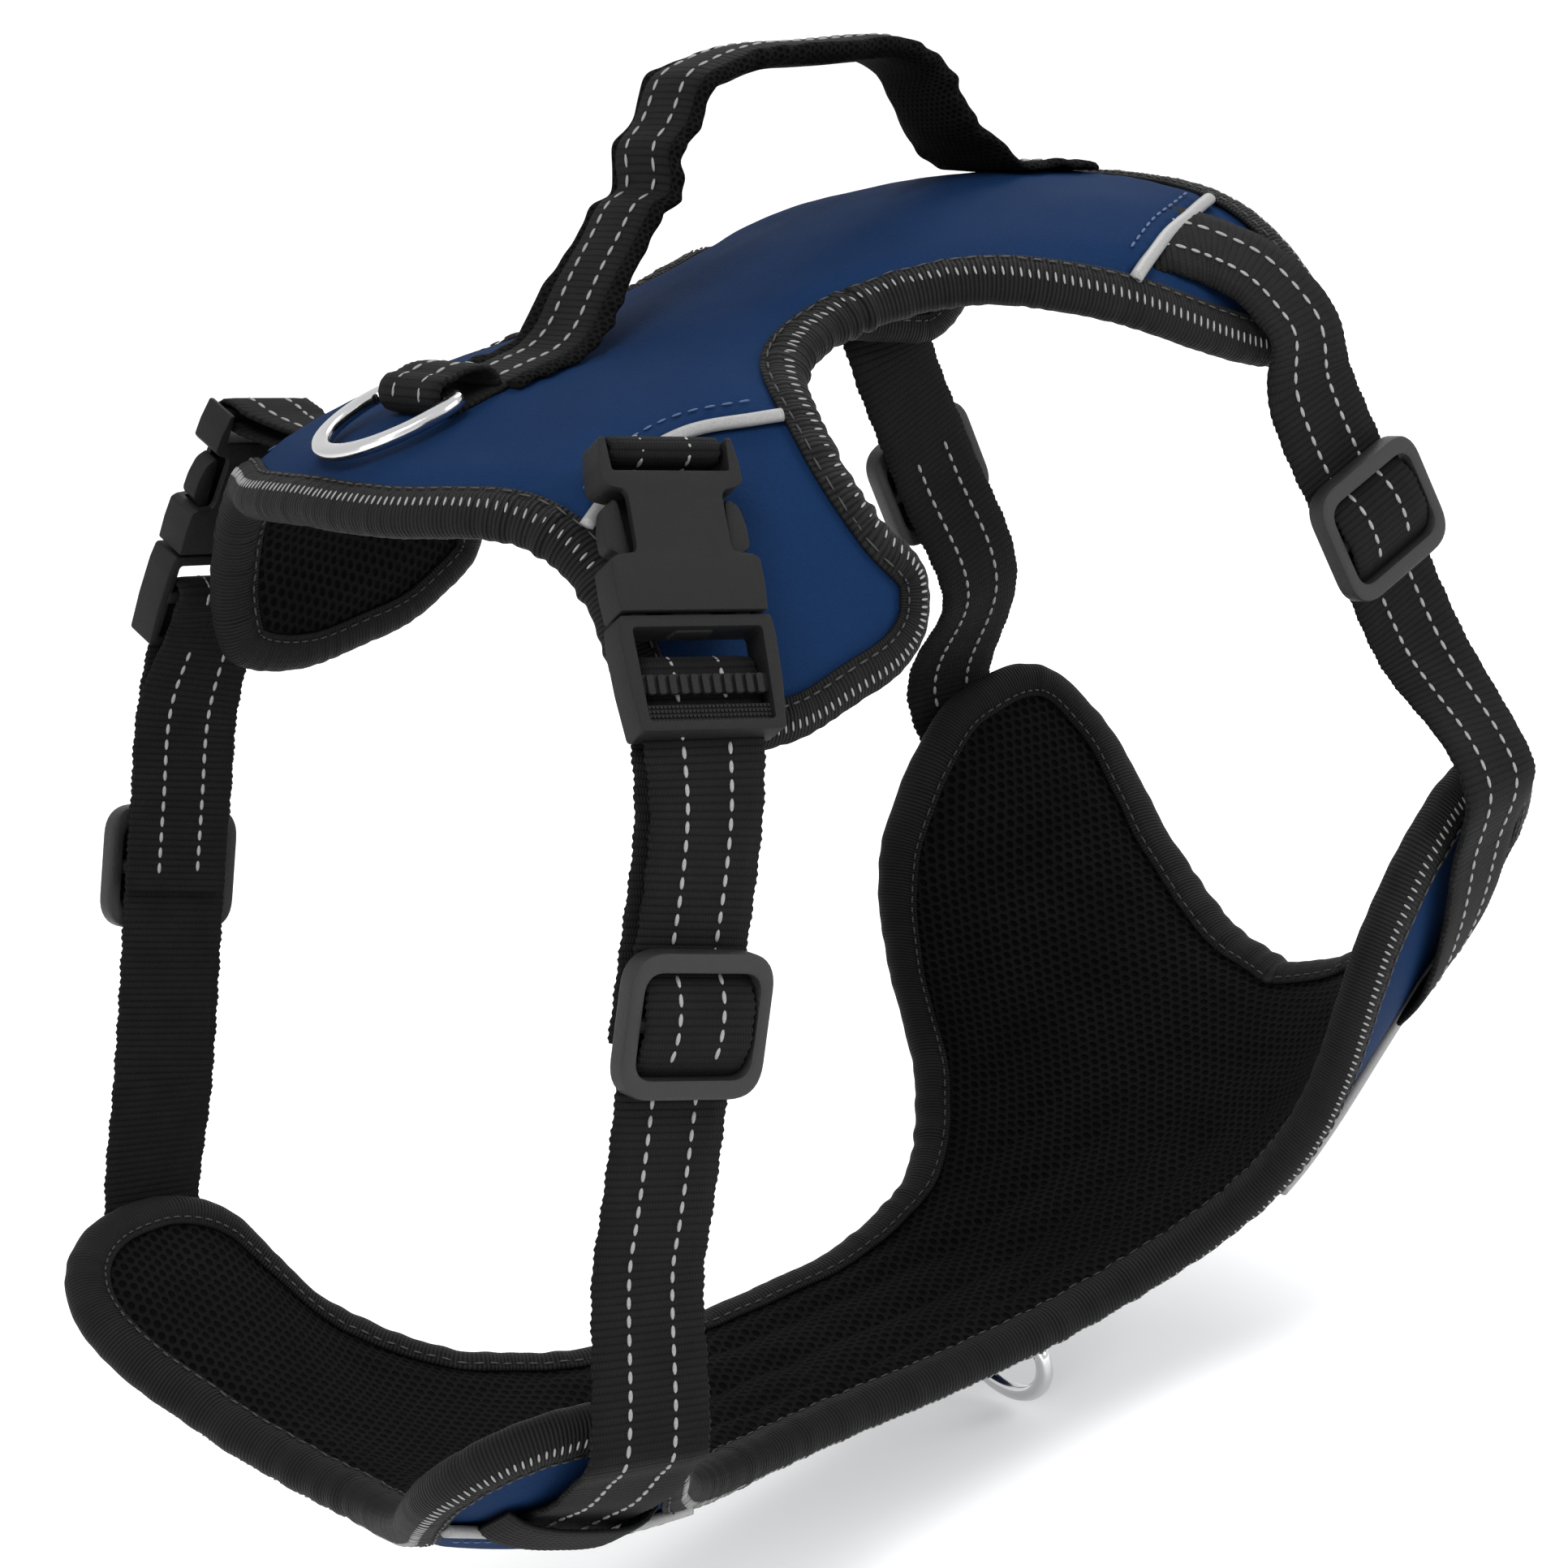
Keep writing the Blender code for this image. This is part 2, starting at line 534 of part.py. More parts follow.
def buckle(side, mirror):
    place = mirror @ buckle_frame()
    look = (PLASTIC, 0.42)
    half = BUCKLE_HALF
    bm = bmesh.new()
    right = [(0.0, 0.0152), (-0.0100, 0.0152), (-0.0112, 0.0095), (-0.0232, 0.0095), (-0.0243, 0.0140),
             (-0.0262, 0.0155), (-0.0330, 0.0150)]
    outline = right + [(u, -v) for u, v in reversed(right)]
    slot = [(-0.0310, 0.0130), (-0.0310, -0.0130), (-0.0290, -0.0130), (-0.0290, 0.0130)]
    plate(bm, outline, [slot], -half, half)
    socket = finish(bm, f"buckle_socket_{side}", look)
    wide, tall = CHANNEL_HALF_WIDTH, CHANNEL_HALF_HEIGHT
    cut(socket, [("DIFFERENCE", (-0.0236, 0.001), (-wide, wide), (-tall, tall)),
                 ("DIFFERENCE", (-0.0350, -0.0300), (-0.0130, 0.0130), (0.0018, 0.006)),
                 ("DIFFERENCE", (-0.0350, -0.0300), (-0.0130, 0.0130), (-0.006, -0.0018))])
    place_mesh(socket, place)

    bm = bmesh.new()
    end = PLUG_LENGTH
    window = [(0.0045, 0.0134), (0.0045, -0.0134), (0.0200, -0.0134), (0.0200, 0.0134)]
    body = [(0.0008, 0.0158), (end, 0.0148), (end, -0.0148), (0.0008, -0.0158)]
    plate(bm, body, [window], -half, half)
    plug = finish(bm, f"buckle_plug_{side}", look)
    tongue = CHANNEL_HALF_HEIGHT - 0.0005
    cut(plug, [("UNION", (-0.0170, 0.003), (-0.0040, 0.0040), (-tongue, tongue)),
               ("UNION", (0.0118, 0.0156), (-0.0140, 0.0140), (0.0012, half + 0.0004)),
               ("UNION", (0.0098, 0.0128), (-0.0140, 0.0140), (-0.0040, -0.0022)),
               ("DIFFERENCE", (0.0190, 0.0300), (-0.0134, 0.0134), (-0.0060, 0.0010)),
               ("DIFFERENCE", (-0.001, 0.0030), (-0.0135, -0.0078), (-0.0060, 0.0060)),
               ("DIFFERENCE", (-0.001, 0.0030), (0.0078, 0.0135), (-0.0060, 0.0060))])
    place_mesh(plug, place)

    for which, sign in (("rear", 1), ("front", -1)):
        bm = bmesh.new()
        inner = [(0.0024, 0.0088), (-0.0125, 0.0092), (-PRONG_LENGTH, 0.0086)]
        outer = [(-PRONG_LENGTH, 0.0106), (-0.0190, 0.0124), (-0.0132, 0.0124), (-0.0118, 0.0120),
                 (0.0024, 0.0124)]
        outline = [(u, v * sign) for u, v in inner + outer]
        plate(bm, outline, [], -tongue, tongue)
        pivot = Vector((PRONG_ROOT[0], PRONG_ROOT[1] * sign, 0))
        finish(bm, f"buckle_prong_{which}_{side}", look, pivot=pivot, transform=place)


def place_mesh(obj, transform):
    """Puts a node whose mesh is in a strap's axes at its place on the harness."""
    if transform.determinant() < 0:
        obj.matrix_world = transform @ Matrix.Scale(-1, 4, Vector((0, 1, 0)))
    else:
        obj.matrix_world = transform


# ---- Straps ----

def slider(label, side, mirror, run, at):
    """A slider buckle, and the webbing end sewn round its middle bar."""
    down = (run[1] - run[0]).normalized()
    centre = run[0] + down * (at - run[0]).dot(down)
    place = mirror @ frame_at(centre, down, STRAP_OUTWARD)
    origin = Vector((0, 0, 0))
    windows = []
    for middle in (-SLIDER_WINDOW_AT, SLIDER_WINDOW_AT):
        low, high = middle - SLIDER_WINDOW_HALF, middle + SLIDER_WINDOW_HALF
        windows.append([(low, -0.0130), (high, -0.0130), (high, 0.0130), (low, 0.0130)])
    bm = bmesh.new()
    outline = rounded(SLIDER_LENGTH, SLIDER_WIDTH, 0.006)
    plate(bm, outline, windows, SLIDER_LOW, SLIDER_LOW + SLIDER_THICK)
    finish(bm, f"{label}_slider_{side}", (PLASTIC, 0.42), pivot=origin, transform=place)

    height = SLIDER_LOW + SLIDER_THICK / 2
    reach_u = SLIDER_WINDOW_AT - SLIDER_WINDOW_HALF + GAP + WRAP_THICK / 2
    reach_n = SLIDER_THICK / 2 + GAP + WRAP_THICK / 2
    loop = [(-reach_u, height - reach_n), (-reach_u - 0.0004, height), (-reach_u, height + reach_n),
            (0.0, height + reach_n + 0.0006), (reach_u, height + reach_n), (reach_u + 0.0004, height),
            (reach_u, height - reach_n), (0.0003, height - reach_n)]
    bm = bmesh.new()
    bar_loop(bm, loop, 0.0245, WRAP_THICK, Matrix.Identity(4))
    finish(bm, f"{label}_slider_wrap_{side}", (FABRIC_BLACK, 0.85), pivot=origin, transform=place)


def girth(side, mirror):
    """Webbing from the buckle's plug to the chest plate, and the loop that holds the socket."""
    axes = buckle_frame()
    outward = axes.col[2].to_3d()
    level = STRAP_OUTWARD.normalized()

    def local(u, n):
        return axes @ Vector((u, 0, n)), outward

    down = (GIRTH_RUN[1] - GIRTH_RUN[0]).normalized()
    low_end = GIRTH_RUN[1]
    bm = bmesh.new()
    front = [local(0.0084, -0.0002), local(0.0133, -0.0002), local(0.0198, -0.0006),
             (GIRTH_RUN[0], level), ((GIRTH_RUN[0] + low_end) / 2, level), (low_end, level)]
    ribbon(bm, front)
    finish(bm, f"girth_strap_{side}", (FABRIC_BLACK, 0.85), transform=mirror)
    bm = bmesh.new()
    back = [local(0.0084, -0.0056), local(0.0198, -0.0056), (GIRTH_RUN[0] - level * 0.0029, level),
            (GIRTH_RUN[0] + down * 0.036 - level * 0.0024, level)]
    ribbon(bm, back)
    finish(bm, f"girth_return_{side}", (FABRIC_BLACK, 0.85), transform=mirror)

    bm = bmesh.new()
    depth = BINDING_TOP + GAP + WEB_THICK / 2 + 0.0006
    start = low_end + down * 0.0006
    lower = [(start, level), (start + down * 0.010, level)]
    lying = SHELL_TOP + GAP + WEB_THICK / 2 + 0.0006
    for along, around, height in ((0.003, 0.100, depth + 0.0020), (0.006, 0.090, depth + 0.0010),
                                  (0.009, 0.079, depth), (0.011, 0.068, lying), (0.011, 0.0595, lying)):
        lower.append(bowl_place(along, around, height))
    ribbon(bm, lower)
    finish(bm, f"girth_lower_{side}", (FABRIC_BLACK, 0.85), transform=mirror)

    bm = bmesh.new()
    loop_profile = [(-0.0344, -0.0080), (-0.0346, -0.0045), (-0.0345, 0.0006), (-0.0337, 0.0028),
                    (-0.0320, 0.0034), (-0.0304, 0.0028), (-0.0300, -0.0004), (-0.0301, -0.0050),
                    (-0.0302, -0.0076)]
    bar_loop(bm, loop_profile, 0.0235, 0.0011, axes)
    finish(bm, f"buckle_loop_{side}", (FABRIC_BLACK, 0.85), transform=mirror)

    bm = bmesh.new()
    band = []
    for along, extra in ((-0.0055, 0.0006), (-0.0028, 0.0030), (0.002, 0.0046), (0.012, 0.0048),
                         (0.0215, 0.0046), (0.0262, 0.0030), (0.0290, 0.0006)):
        band.append(bowl_place(along, 0.0635, SHELL_TOP + GAP + 0.0006 + extra))
    ribbon(bm, band, width=0.012, thick=0.0011, step=0.006)
    finish(bm, f"keeper_{side}", (FABRIC_BLACK, 0.85), transform=mirror)


def neck(side, mirror):
    """Webbing from under the back panel's front seam to the chest plate."""
    level = STRAP_OUTWARD.normalized()
    lying = SHELL_TOP + GAP + WEB_THICK / 2 + 0.0003
    over = BINDING_TOP + GAP + WEB_THICK / 2 + 0.0008
    depth = BINDING_TOP + GAP + WEB_THICK / 2 + 0.0006
    path = []
    for along, around, height in ((0.0817, 0.0656, lying + 0.0006), (0.0865, 0.0725, over),
                                  (0.0890, 0.0800, over + 0.0011), (0.0898, 0.0860, over + 0.0018)):
        path.append(arch_place(along, around, height))
    path += [(NECK_RUN[0], level), ((NECK_RUN[0] + NECK_RUN[1]) / 2, level), (NECK_RUN[1], level)]
    for along, around, extra in ((0.314, 0.113, 0.0030), (0.304, 0.099, 0.0006),
                                 (0.296, 0.084, 0.0), (0.290, 0.070, 0.0)):
        path.append(bowl_place(along, around, depth + extra))
    bm = bmesh.new()
    ribbon(bm, path)
    finish(bm, f"neck_strap_{side}", (FABRIC_BLACK, 0.85), transform=mirror)


def clear_scene():
    for obj in list(bpy.data.objects):
        bpy.data.objects.remove(obj)


def build():
    clear_scene()
    pad("back", BACK_EDGE, {"wing": BACK_WING_SEAM, "neck": BACK_NECK_SEAM}, arch_place)
    pad("chest", CHEST_EDGE, {"rear": CHEST_REAR_SEAM, "neck": CHEST_NECK_SEAM}, bowl_place)
    handle()
    rings()
    for side, mirror in SIDES:
        buckle(side, mirror)
        girth(side, mirror)
        neck(side, mirror)
        slider("girth", side, mirror, GIRTH_RUN, GIRTH_SLIDER_AT)
        slider("neck", side, mirror, NECK_RUN, NECK_SLIDER_AT)


build()
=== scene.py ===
"""Looks of a no-pull dog harness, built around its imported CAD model.

Every soft piece, buckle and ring is remade here in fine detail in the place of its CAD node.
Lengths are in metres. "Along" and "around" are distances on a pad, along the body and round it,
and "depth" is the height above the pad's inner face.
"""

import math

import bmesh
import bpy
import numpy as np
from mathutils import Matrix, Vector


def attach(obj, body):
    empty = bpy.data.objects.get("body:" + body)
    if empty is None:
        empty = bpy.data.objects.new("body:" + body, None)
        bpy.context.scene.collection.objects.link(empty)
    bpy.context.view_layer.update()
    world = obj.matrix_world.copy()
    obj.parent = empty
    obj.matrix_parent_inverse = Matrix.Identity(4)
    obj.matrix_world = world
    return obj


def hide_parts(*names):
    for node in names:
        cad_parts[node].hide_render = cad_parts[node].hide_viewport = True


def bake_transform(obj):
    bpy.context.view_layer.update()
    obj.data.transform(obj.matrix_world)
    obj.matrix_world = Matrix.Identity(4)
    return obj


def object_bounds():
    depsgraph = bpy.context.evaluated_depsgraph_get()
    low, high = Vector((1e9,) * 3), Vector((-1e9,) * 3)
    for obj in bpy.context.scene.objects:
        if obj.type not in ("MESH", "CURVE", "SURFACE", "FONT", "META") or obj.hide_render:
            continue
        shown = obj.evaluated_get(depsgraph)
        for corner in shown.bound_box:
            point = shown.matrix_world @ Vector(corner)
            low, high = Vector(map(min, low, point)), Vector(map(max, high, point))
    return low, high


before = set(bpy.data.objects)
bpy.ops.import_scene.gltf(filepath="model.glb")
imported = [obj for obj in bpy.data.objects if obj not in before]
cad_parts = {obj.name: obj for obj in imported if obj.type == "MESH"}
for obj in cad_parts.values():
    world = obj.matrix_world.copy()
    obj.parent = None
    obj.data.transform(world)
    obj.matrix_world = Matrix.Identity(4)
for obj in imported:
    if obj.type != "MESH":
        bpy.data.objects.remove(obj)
cad_low, cad_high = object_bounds()

# ---- Dimensions shared with the CAD model ----

WEB_WIDTH = 0.025
WEB_THICK = 0.0016
SHELL_LOW = 0.0049
SHELL_TOP = 0.0058
TAPE_LOW, TAPE_TOP = -0.0019, 0.0077
CROWN_RADIUS = 0.25
CROWN_HALF = 0.042
SHOULDER_RADIUS = 0.042
SIDE_ANGLE = math.radians(80)
RIDGE = [(-0.119, -0.013), (-0.105, -0.0108), (-0.085, -0.0082), (-0.060, -0.0062), (-0.030, -0.0050),
         (0.0, -0.0035), (0.027, -0.0013), (0.050, -0.0008), (0.071, -0.003), (0.102, -0.010),
         (0.120, -0.014)]
ARCH_SPREAD = [(-0.120, 0.97), (-0.080, 1.0), (-0.010, 1.0), (0.040, 0.94), (0.080, 0.84), (0.110, 0.78)]
KEEL = [(0.0, -0.161, -0.2005), (0.037, -0.129, -0.216), (0.105, -0.064, -0.2293),
        (0.175, 0.005, -0.2368), (0.231, 0.059, -0.2297), (0.294, 0.114, -0.2017)]
BOWL_BEND = [(0.0, 8.6), (0.080, 9.0), (0.175, 10.3), (0.260, 11.8), (0.300, 12.0)]
BACK_EDGE = [(-0.110, 0.0), (-0.110, 0.014), (-0.108, 0.027), (-0.102, 0.042), (-0.095, 0.057),
             (-0.094, 0.074), (-0.096, 0.089), (-0.094, 0.101), (-0.082, 0.110), (-0.063, 0.1135),
             (-0.043, 0.1125), (-0.029, 0.1065), (-0.025, 0.096), (-0.030, 0.084), (-0.0305, 0.070),
             (-0.0245, 0.0560), (-0.0150, 0.0465), (-0.0030, 0.0425), (0.0100, 0.0442), (0.0240, 0.0530),
             (0.0405, 0.0670), (0.0550, 0.0775), (0.0700, 0.0860), (0.0850, 0.0905), (0.0990, 0.0900),
             (0.1085, 0.0790), (0.1085, 0.0600), (0.1078, 0.0450), (0.1080, 0.0280), (0.1070, 0.0120),
             (0.1060, 0.0)]
CHEST_EDGE = [(0.0, 0.0), (-0.005, 0.020), (-0.015, 0.042), (-0.025, 0.060), (-0.029, 0.076),
              (-0.022, 0.092), (-0.004, 0.101), (0.014, 0.100), (0.031, 0.084), (0.048, 0.064),
              (0.067, 0.048), (0.094, 0.038), (0.130, 0.037), (0.165, 0.039), (0.192, 0.046),
              (0.213, 0.061), (0.235, 0.083), (0.260, 0.101), (0.288, 0.112), (0.312, 0.113),
              (0.330, 0.102), (0.332, 0.084), (0.322, 0.062), (0.309, 0.040), (0.299, 0.019),
              (0.294, 0.0)]
BACK_WING_SEAM = [(-0.082, 0.060), (-0.069, 0.055), (-0.055, 0.054), (-0.041, 0.058)]
BACK_NECK_SEAM = [(0.0590, 0.0655), (0.0650, 0.0630), (0.0740, 0.0590), (0.0840, 0.0550), (0.0925, 0.0510)]
CHEST_REAR_SEAM = [(-0.011, 0.058), (0.006, 0.053), (0.024, 0.051), (0.044, 0.055)]
CHEST_NECK_SEAM = [(0.228, 0.057), (0.246, 0.055), (0.280, 0.055), (0.303, 0.059)]
BUCKLE_TOP = Vector((-0.0725, 0.0724, -0.0036))
BUCKLE_END = Vector((-0.0920, 0.0958, -0.0477))
SOCKET_LENGTH = 0.033
BUCKLE_HALF = 0.0042
CHANNEL_HALF_WIDTH = 0.0128
CHANNEL_HALF_HEIGHT = 0.0027
GIRTH_RUN = (Vector((-0.0985, 0.0980, -0.0650)), Vector((-0.1280, 0.0945, -0.1320)))
NECK_RUN = (Vector((0.0915, 0.0705, -0.0470)), Vector((0.1050, 0.0745, -0.1090)))
GIRTH_SLIDER_AT = Vector((-0.1130, 0.0963, -0.098))
NECK_SLIDER_AT = Vector((0.0985, 0.0720, -0.078))
LEASH_RING_AT = Vector((-0.076, 0.0, 0.0048))
CHEST_RING_AT = Vector((0.006, 0.0, -0.2500))
HANDLE = [(-0.054, 0.0034), (-0.0460, 0.0040), (-0.0405, 0.0066), (-0.0350, 0.0118), (-0.0270, 0.0196),
          (-0.0190, 0.0270), (-0.0105, 0.0345), (-0.0030, 0.0425), (0.0050, 0.0478), (0.0160, 0.0480),
          (0.0300, 0.0458), (0.0430, 0.0430), (0.0540, 0.0400), (0.0620, 0.0335), (0.0655, 0.0240),
          (0.0690, 0.0145), (0.0722, 0.0082), (0.0775, 0.0058), (0.0860, 0.0037), (0.0960, 0.0006)]
LEVEL = Vector((0, 1, 0.05)).normalized()
SIDES = (("left", 1), ("right", -1))

# ---- Finer detail ----

TAPE_MIDDLE, TAPE_HALF = (TAPE_TOP + TAPE_LOW) / 2, (TAPE_TOP - TAPE_LOW) / 2
TAPE_NOSE = 0.0042  # how far in from the pad's edge the tape is round
TAPE_SEAM = 0.0074  # from the pad's edge to the stitches that hold the tape
MESH_INSET = 0.0028  # how far in from the pad's edge the padding and the shell end
COVER_INSET = 0.0078
COVER_LOW = 0.0060
PIPING_HALF_WIDTH, PIPING_HALF_HEIGHT = 0.00145, 0.00125
SOFTSHELL_THICK = 0.0008
CHANNEL_PITCH = 0.0165  # between the sewn channels of the chest plate's padding
STITCH_BESIDE = 0.0031  # from a cover's open end to the stitches that hold its piping
SELVEDGE = 0.0012  # how far in from a strap's edge it is uneven
SELVEDGE_PITCH = 0.0016
DASH_LINE = 0.0048  # from a strap's middle to each line of reflective thread
DASH_WIDTH, DASH_HEIGHT = 0.00092, 0.00030
THREAD_HEIGHT = 0.00022
THIN_WEB_THICK = 0.0012  # the webbing round a slider's bar, and the elastic of a keeper
TOOTH_PITCH = 0.0022  # between the coarse teeth on the plug's bar
BUMP_PITCH = 0.0008  # between the fine teeth behind them
RING_HALF_WIDTH = 0.0150

# ---- Scale of the textures and of the stitches along their seams, in millimetres ----

WEAVE_ROW = 1.45
YARN_PITCH = 0.62
DASH_PITCH = 3.4
DASH_LENGTH = 2.3
TAPE_RIB = 0.87
MESH_ROW, MESH_PITCH = 2.0, 3.1
LADDER_PITCH = 1.75


# ---- Curves and surfaces ----

def curve(table, where):
    """Smooth curve through the table's rows, at many places along its first value."""
    rows, where = np.asarray(table, float), np.atleast_1d(np.asarray(where, float))
    last = len(rows) - 1
    i = np.clip(np.searchsorted(rows[:, 0], where, side="right") - 1, 0, last - 1)
    a, b = rows[i], rows[i + 1]
    before, after = rows[np.maximum(i - 1, 0)], rows[np.minimum(i + 2, last)]
    step = b[:, :1] - a[:, :1]
    part = (where[:, None] - a[:, :1]) / step
    slope_a = (b - before)[:, 1:] / (b - before)[:, :1] * step
    slope_b = (after - a)[:, 1:] / (after - a)[:, :1] * step
    t = np.clip(part, 0, 1)
    inside = ((2 * t**3 - 3 * t**2 + 1) * a[:, 1:] + (t**3 - 2 * t**2 + t) * slope_a
              + (3 * t**2 - 2 * t**3) * b[:, 1:] + (t**3 - t**2) * slope_b)
    return inside + slope_a * np.minimum(part, 0) + slope_b * np.maximum(part - 1, 0)


def resample(points, step):
    """Points at an even spacing along a smooth open curve; values after the third ride along."""
    points = np.asarray(points, float)
    gaps = np.linalg.norm(np.diff(points[:, :3], axis=0), axis=1)
    run = np.concatenate([[0], np.cumsum(gaps)])
    count = max(2, round(run[-1] / step))
    return curve(np.column_stack([run, points]), np.linspace(0, run[-1], count + 1))


def unit(vectors):
    return vectors / np.maximum(np.linalg.norm(vectors, axis=-1, keepdims=True), 1e-12)


def smooth_step(x):
    x = np.clip(x, 0, 1)
    return x * x * (3 - 2 * x)


def arch_points(along, around):
    t, crown = np.abs(around), CROWN_HALF / CROWN_RADIUS
    shoulder_end = CROWN_HALF + SHOULDER_RADIUS * (SIDE_ANGLE - crown)
    turned = np.minimum(t, CROWN_HALF) / CROWN_RADIUS
    angle = turned + np.maximum(0, np.minimum(t, shoulder_end) - CROWN_HALF) / SHOULDER_RADIUS
    flat = np.minimum(angle, crown)
    y = CROWN_RADIUS * np.sin(flat) + SHOULDER_RADIUS * (np.sin(angle) - np.sin(flat))
    z = CROWN_RADIUS * (np.cos(flat) - 1) + SHOULDER_RADIUS * (np.cos(angle) - np.cos(flat))
    straight = np.maximum(0, t - shoulder_end)
    y += straight * math.cos(SIDE_ANGLE)
    z -= straight * math.sin(SIDE_ANGLE)
    spread, ridge = curve(ARCH_SPREAD, along)[:, 0], curve(RIDGE, along)[:, 0]
    return np.column_stack([along, np.sign(around) * y * spread, ridge + z])


def arch(along, around, depth):
    """Points and outward normals of the back panel."""
    along, around = np.atleast_1d(along) * 1.0, np.atleast_1d(around) * 1.0
    step = 0.004
    ahead = arch_points(along + step, around) - arch_points(along - step, around)
    aside = arch_points(along, around + step) - arch_points(along, around - step)
    normal = unit(np.cross(ahead, aside))
    return arch_points(along, around) + normal * np.reshape(depth, (-1, 1)), normal


def bowl(along, around, depth):
    """Points and outward normals of the chest plate."""
    along, around = np.atleast_1d(along) * 1.0, np.atleast_1d(around) * 1.0
    keel = curve(KEEL, along)
    ahead = unit(curve(KEEL, along + 0.001) - curve(KEEL, along - 0.001))
    nothing = np.zeros(len(keel))
    inward = np.column_stack([-ahead[:, 1], nothing, ahead[:, 0]])
    bend = curve(BOWL_BEND, along)[:, 0]
    angle = bend * around
    normal = np.column_stack([nothing, np.sin(angle), nothing]) - inward * np.cos(angle)[:, None]
    point = np.column_stack([keel[:, 0], np.sin(angle) / bend, keel[:, 1]])
    point += inward * ((1 - np.cos(angle)) / bend)[:, None]
    return point + normal * np.reshape(depth, (-1, 1)), normal


def on(surface, along, around, depth):
    """One point of a pad and its outward normal."""
    point, normal = surface(along, around, depth)
    return point[0], normal[0]


class Waves:
    """Soft repeatable unevenness: a few sine waves in directions drawn from a seed."""

    def __init__(self, seed, size, count=7):
        draw = np.random.default_rng(seed)
        turn = draw.uniform(0, math.tau, count)
        length = size * draw.uniform(0.6, 1.7, count)
        self.pull = np.column_stack([np.cos(turn), np.sin(turn)]) * (math.tau / length)[:, None]
        self.start = draw.uniform(0, math.tau, count)

    def at(self, x, y=0.0):
        place = np.column_stack(np.broadcast_arrays(np.ravel(x), np.ravel(y)))
        return np.sin(place @ self.pull.T + self.start).mean(axis=1) * 1.6


# ---- Outlines ----

def full_outline(edge, step):
    """A pad's closed outline at an even spacing."""
    half = resample(edge, step)
    half[0, 1] = half[-1, 1] = 0.0
    return np.vstack([half, half[-2:0:-1] * (1, -1)])


def moved_in(outline, distance):
    run = unit(np.roll(outline, -1, axis=0) - np.roll(outline, 1, axis=0))
    return outline + np.column_stack([run[:, 1], -run[:, 0]]) * np.reshape(distance, (-1, 1))


def trimmed(outline, seam):
    """The outline's left half and its mirror, cut off along a seam."""
    half = outline[:len(outline) // 2 + 1]
    ends = [int(np.argmin(np.linalg.norm(half - corner, axis=1))) for corner in (seam[0], seam[-1])]
    half = np.vstack([half[:ends[0]], seam, half[ends[1] + 1:]])
    return np.vstack([half, half[-2:0:-1] * (1, -1)])


def nearest_on(outline, points):
    """Distance from each point to the outline, and the place there."""
    a = outline
    run = np.roll(outline, -1, axis=0) - a
    squared = np.maximum((run**2).sum(axis=1), 1e-18)
    distance, place = np.empty(len(points)), np.empty((len(points), 2))
    for low in range(0, len(points), 4000):
        part = points[low:low + 4000]
        t = np.clip(((part[:, None] - a) * run).sum(axis=2) / squared, 0, 1)
        found = a + run * t[:, :, None]
        far = np.linalg.norm(part[:, None] - found, axis=2)
        best = far.argmin(axis=1)
        rows = np.arange(len(part))
        distance[low:low + 4000], place[low:low + 4000] = far[rows, best], found[rows, best]
    return distance, place


def within(outline, points):
    x, y = points[:, :1], points[:, 1:]
    a, b = outline, np.roll(outline, -1, axis=0)
    straddles = (a[:, 1] > y) != (b[:, 1] > y)
    rise = np.where(b[:, 1] == a[:, 1], 1e-12, b[:, 1] - a[:, 1])
    crossing = a[:, 0] + (y - a[:, 1]) * (b[:, 0] - a[:, 0]) / rise
    return (straddles & (x < crossing)).sum(axis=1) % 2 == 1


def region(outline, step):
    """A fine grid over an outline: its points, its quads and the edges of its rim."""
    low, high = outline.min(axis=0) - step, outline.max(axis=0) + step
    xs = np.arange(low[0], high[0], step)
    reach = math.ceil(high[1] / step)
    ys = np.arange(-reach, reach + 1) * step
    spots = np.stack(np.meshgrid(xs, ys, indexing="ij"), axis=2)
    middles = (spots[:-1, :-1] + spots[1:, 1:]) / 2
    kept = within(outline, middles.reshape(-1, 2)).reshape(middles.shape[:2])
    number = np.arange(spots.shape[0] * spots.shape[1]).reshape(spots.shape[:2])
    corners = np.stack([number[:-1, :-1], number[1:, :-1], number[1:, 1:], number[:-1, 1:]], axis=2)
    quads = corners[kept]
    used, quads = np.unique(quads, return_inverse=True)
    quads = quads.reshape(-1, 4)
    points = spots.reshape(-1, 2)[used]
    edges = np.concatenate([quads[:, [k, (k + 1) % 4]] for k in range(4)])
    keys, count = np.unique(np.sort(edges, axis=1), axis=0, return_counts=True)
    single = {tuple(key) for key in keys[count == 1].tolist()}
    rim = [e for e in edges.tolist() if tuple(sorted(e)) in single]
    rim_points = np.unique(np.array(rim))
    points[rim_points] = nearest_on(outline, points[rim_points])[1]
    return points, quads, rim


# ---- Meshes ----

def link(name, data):
    """A new object in the scene."""
    obj = bpy.data.objects.new(name, data)
    bpy.context.scene.collection.objects.link(obj)
    return obj


def add_object(name, points, faces, look, uvs=None):
    """A mesh object facing outward. uvs holds one pair per face corner, in millimetres."""
    mesh = bpy.data.meshes.new(name)
    mesh.from_pydata(np.asarray(points).tolist(), [], faces if isinstance(faces, list) else faces.tolist())
    if uvs is not None:
        layer = mesh.uv_layers.new(name="pattern")
        layer.data.foreach_set("uv", np.asarray(uvs, np.float32).ravel())
    bm = bmesh.new()
    bm.from_mesh(mesh)
    bmesh.ops.recalc_face_normals(bm, faces=bm.faces)
    if bm.calc_volume(signed=True) < 0:
        bmesh.ops.reverse_faces(bm, faces=bm.faces)
    bm.to_mesh(mesh)
    bm.free()
    mesh.shade_smooth()
    obj = link(name, mesh)
    mesh.materials.append(look)
    return obj


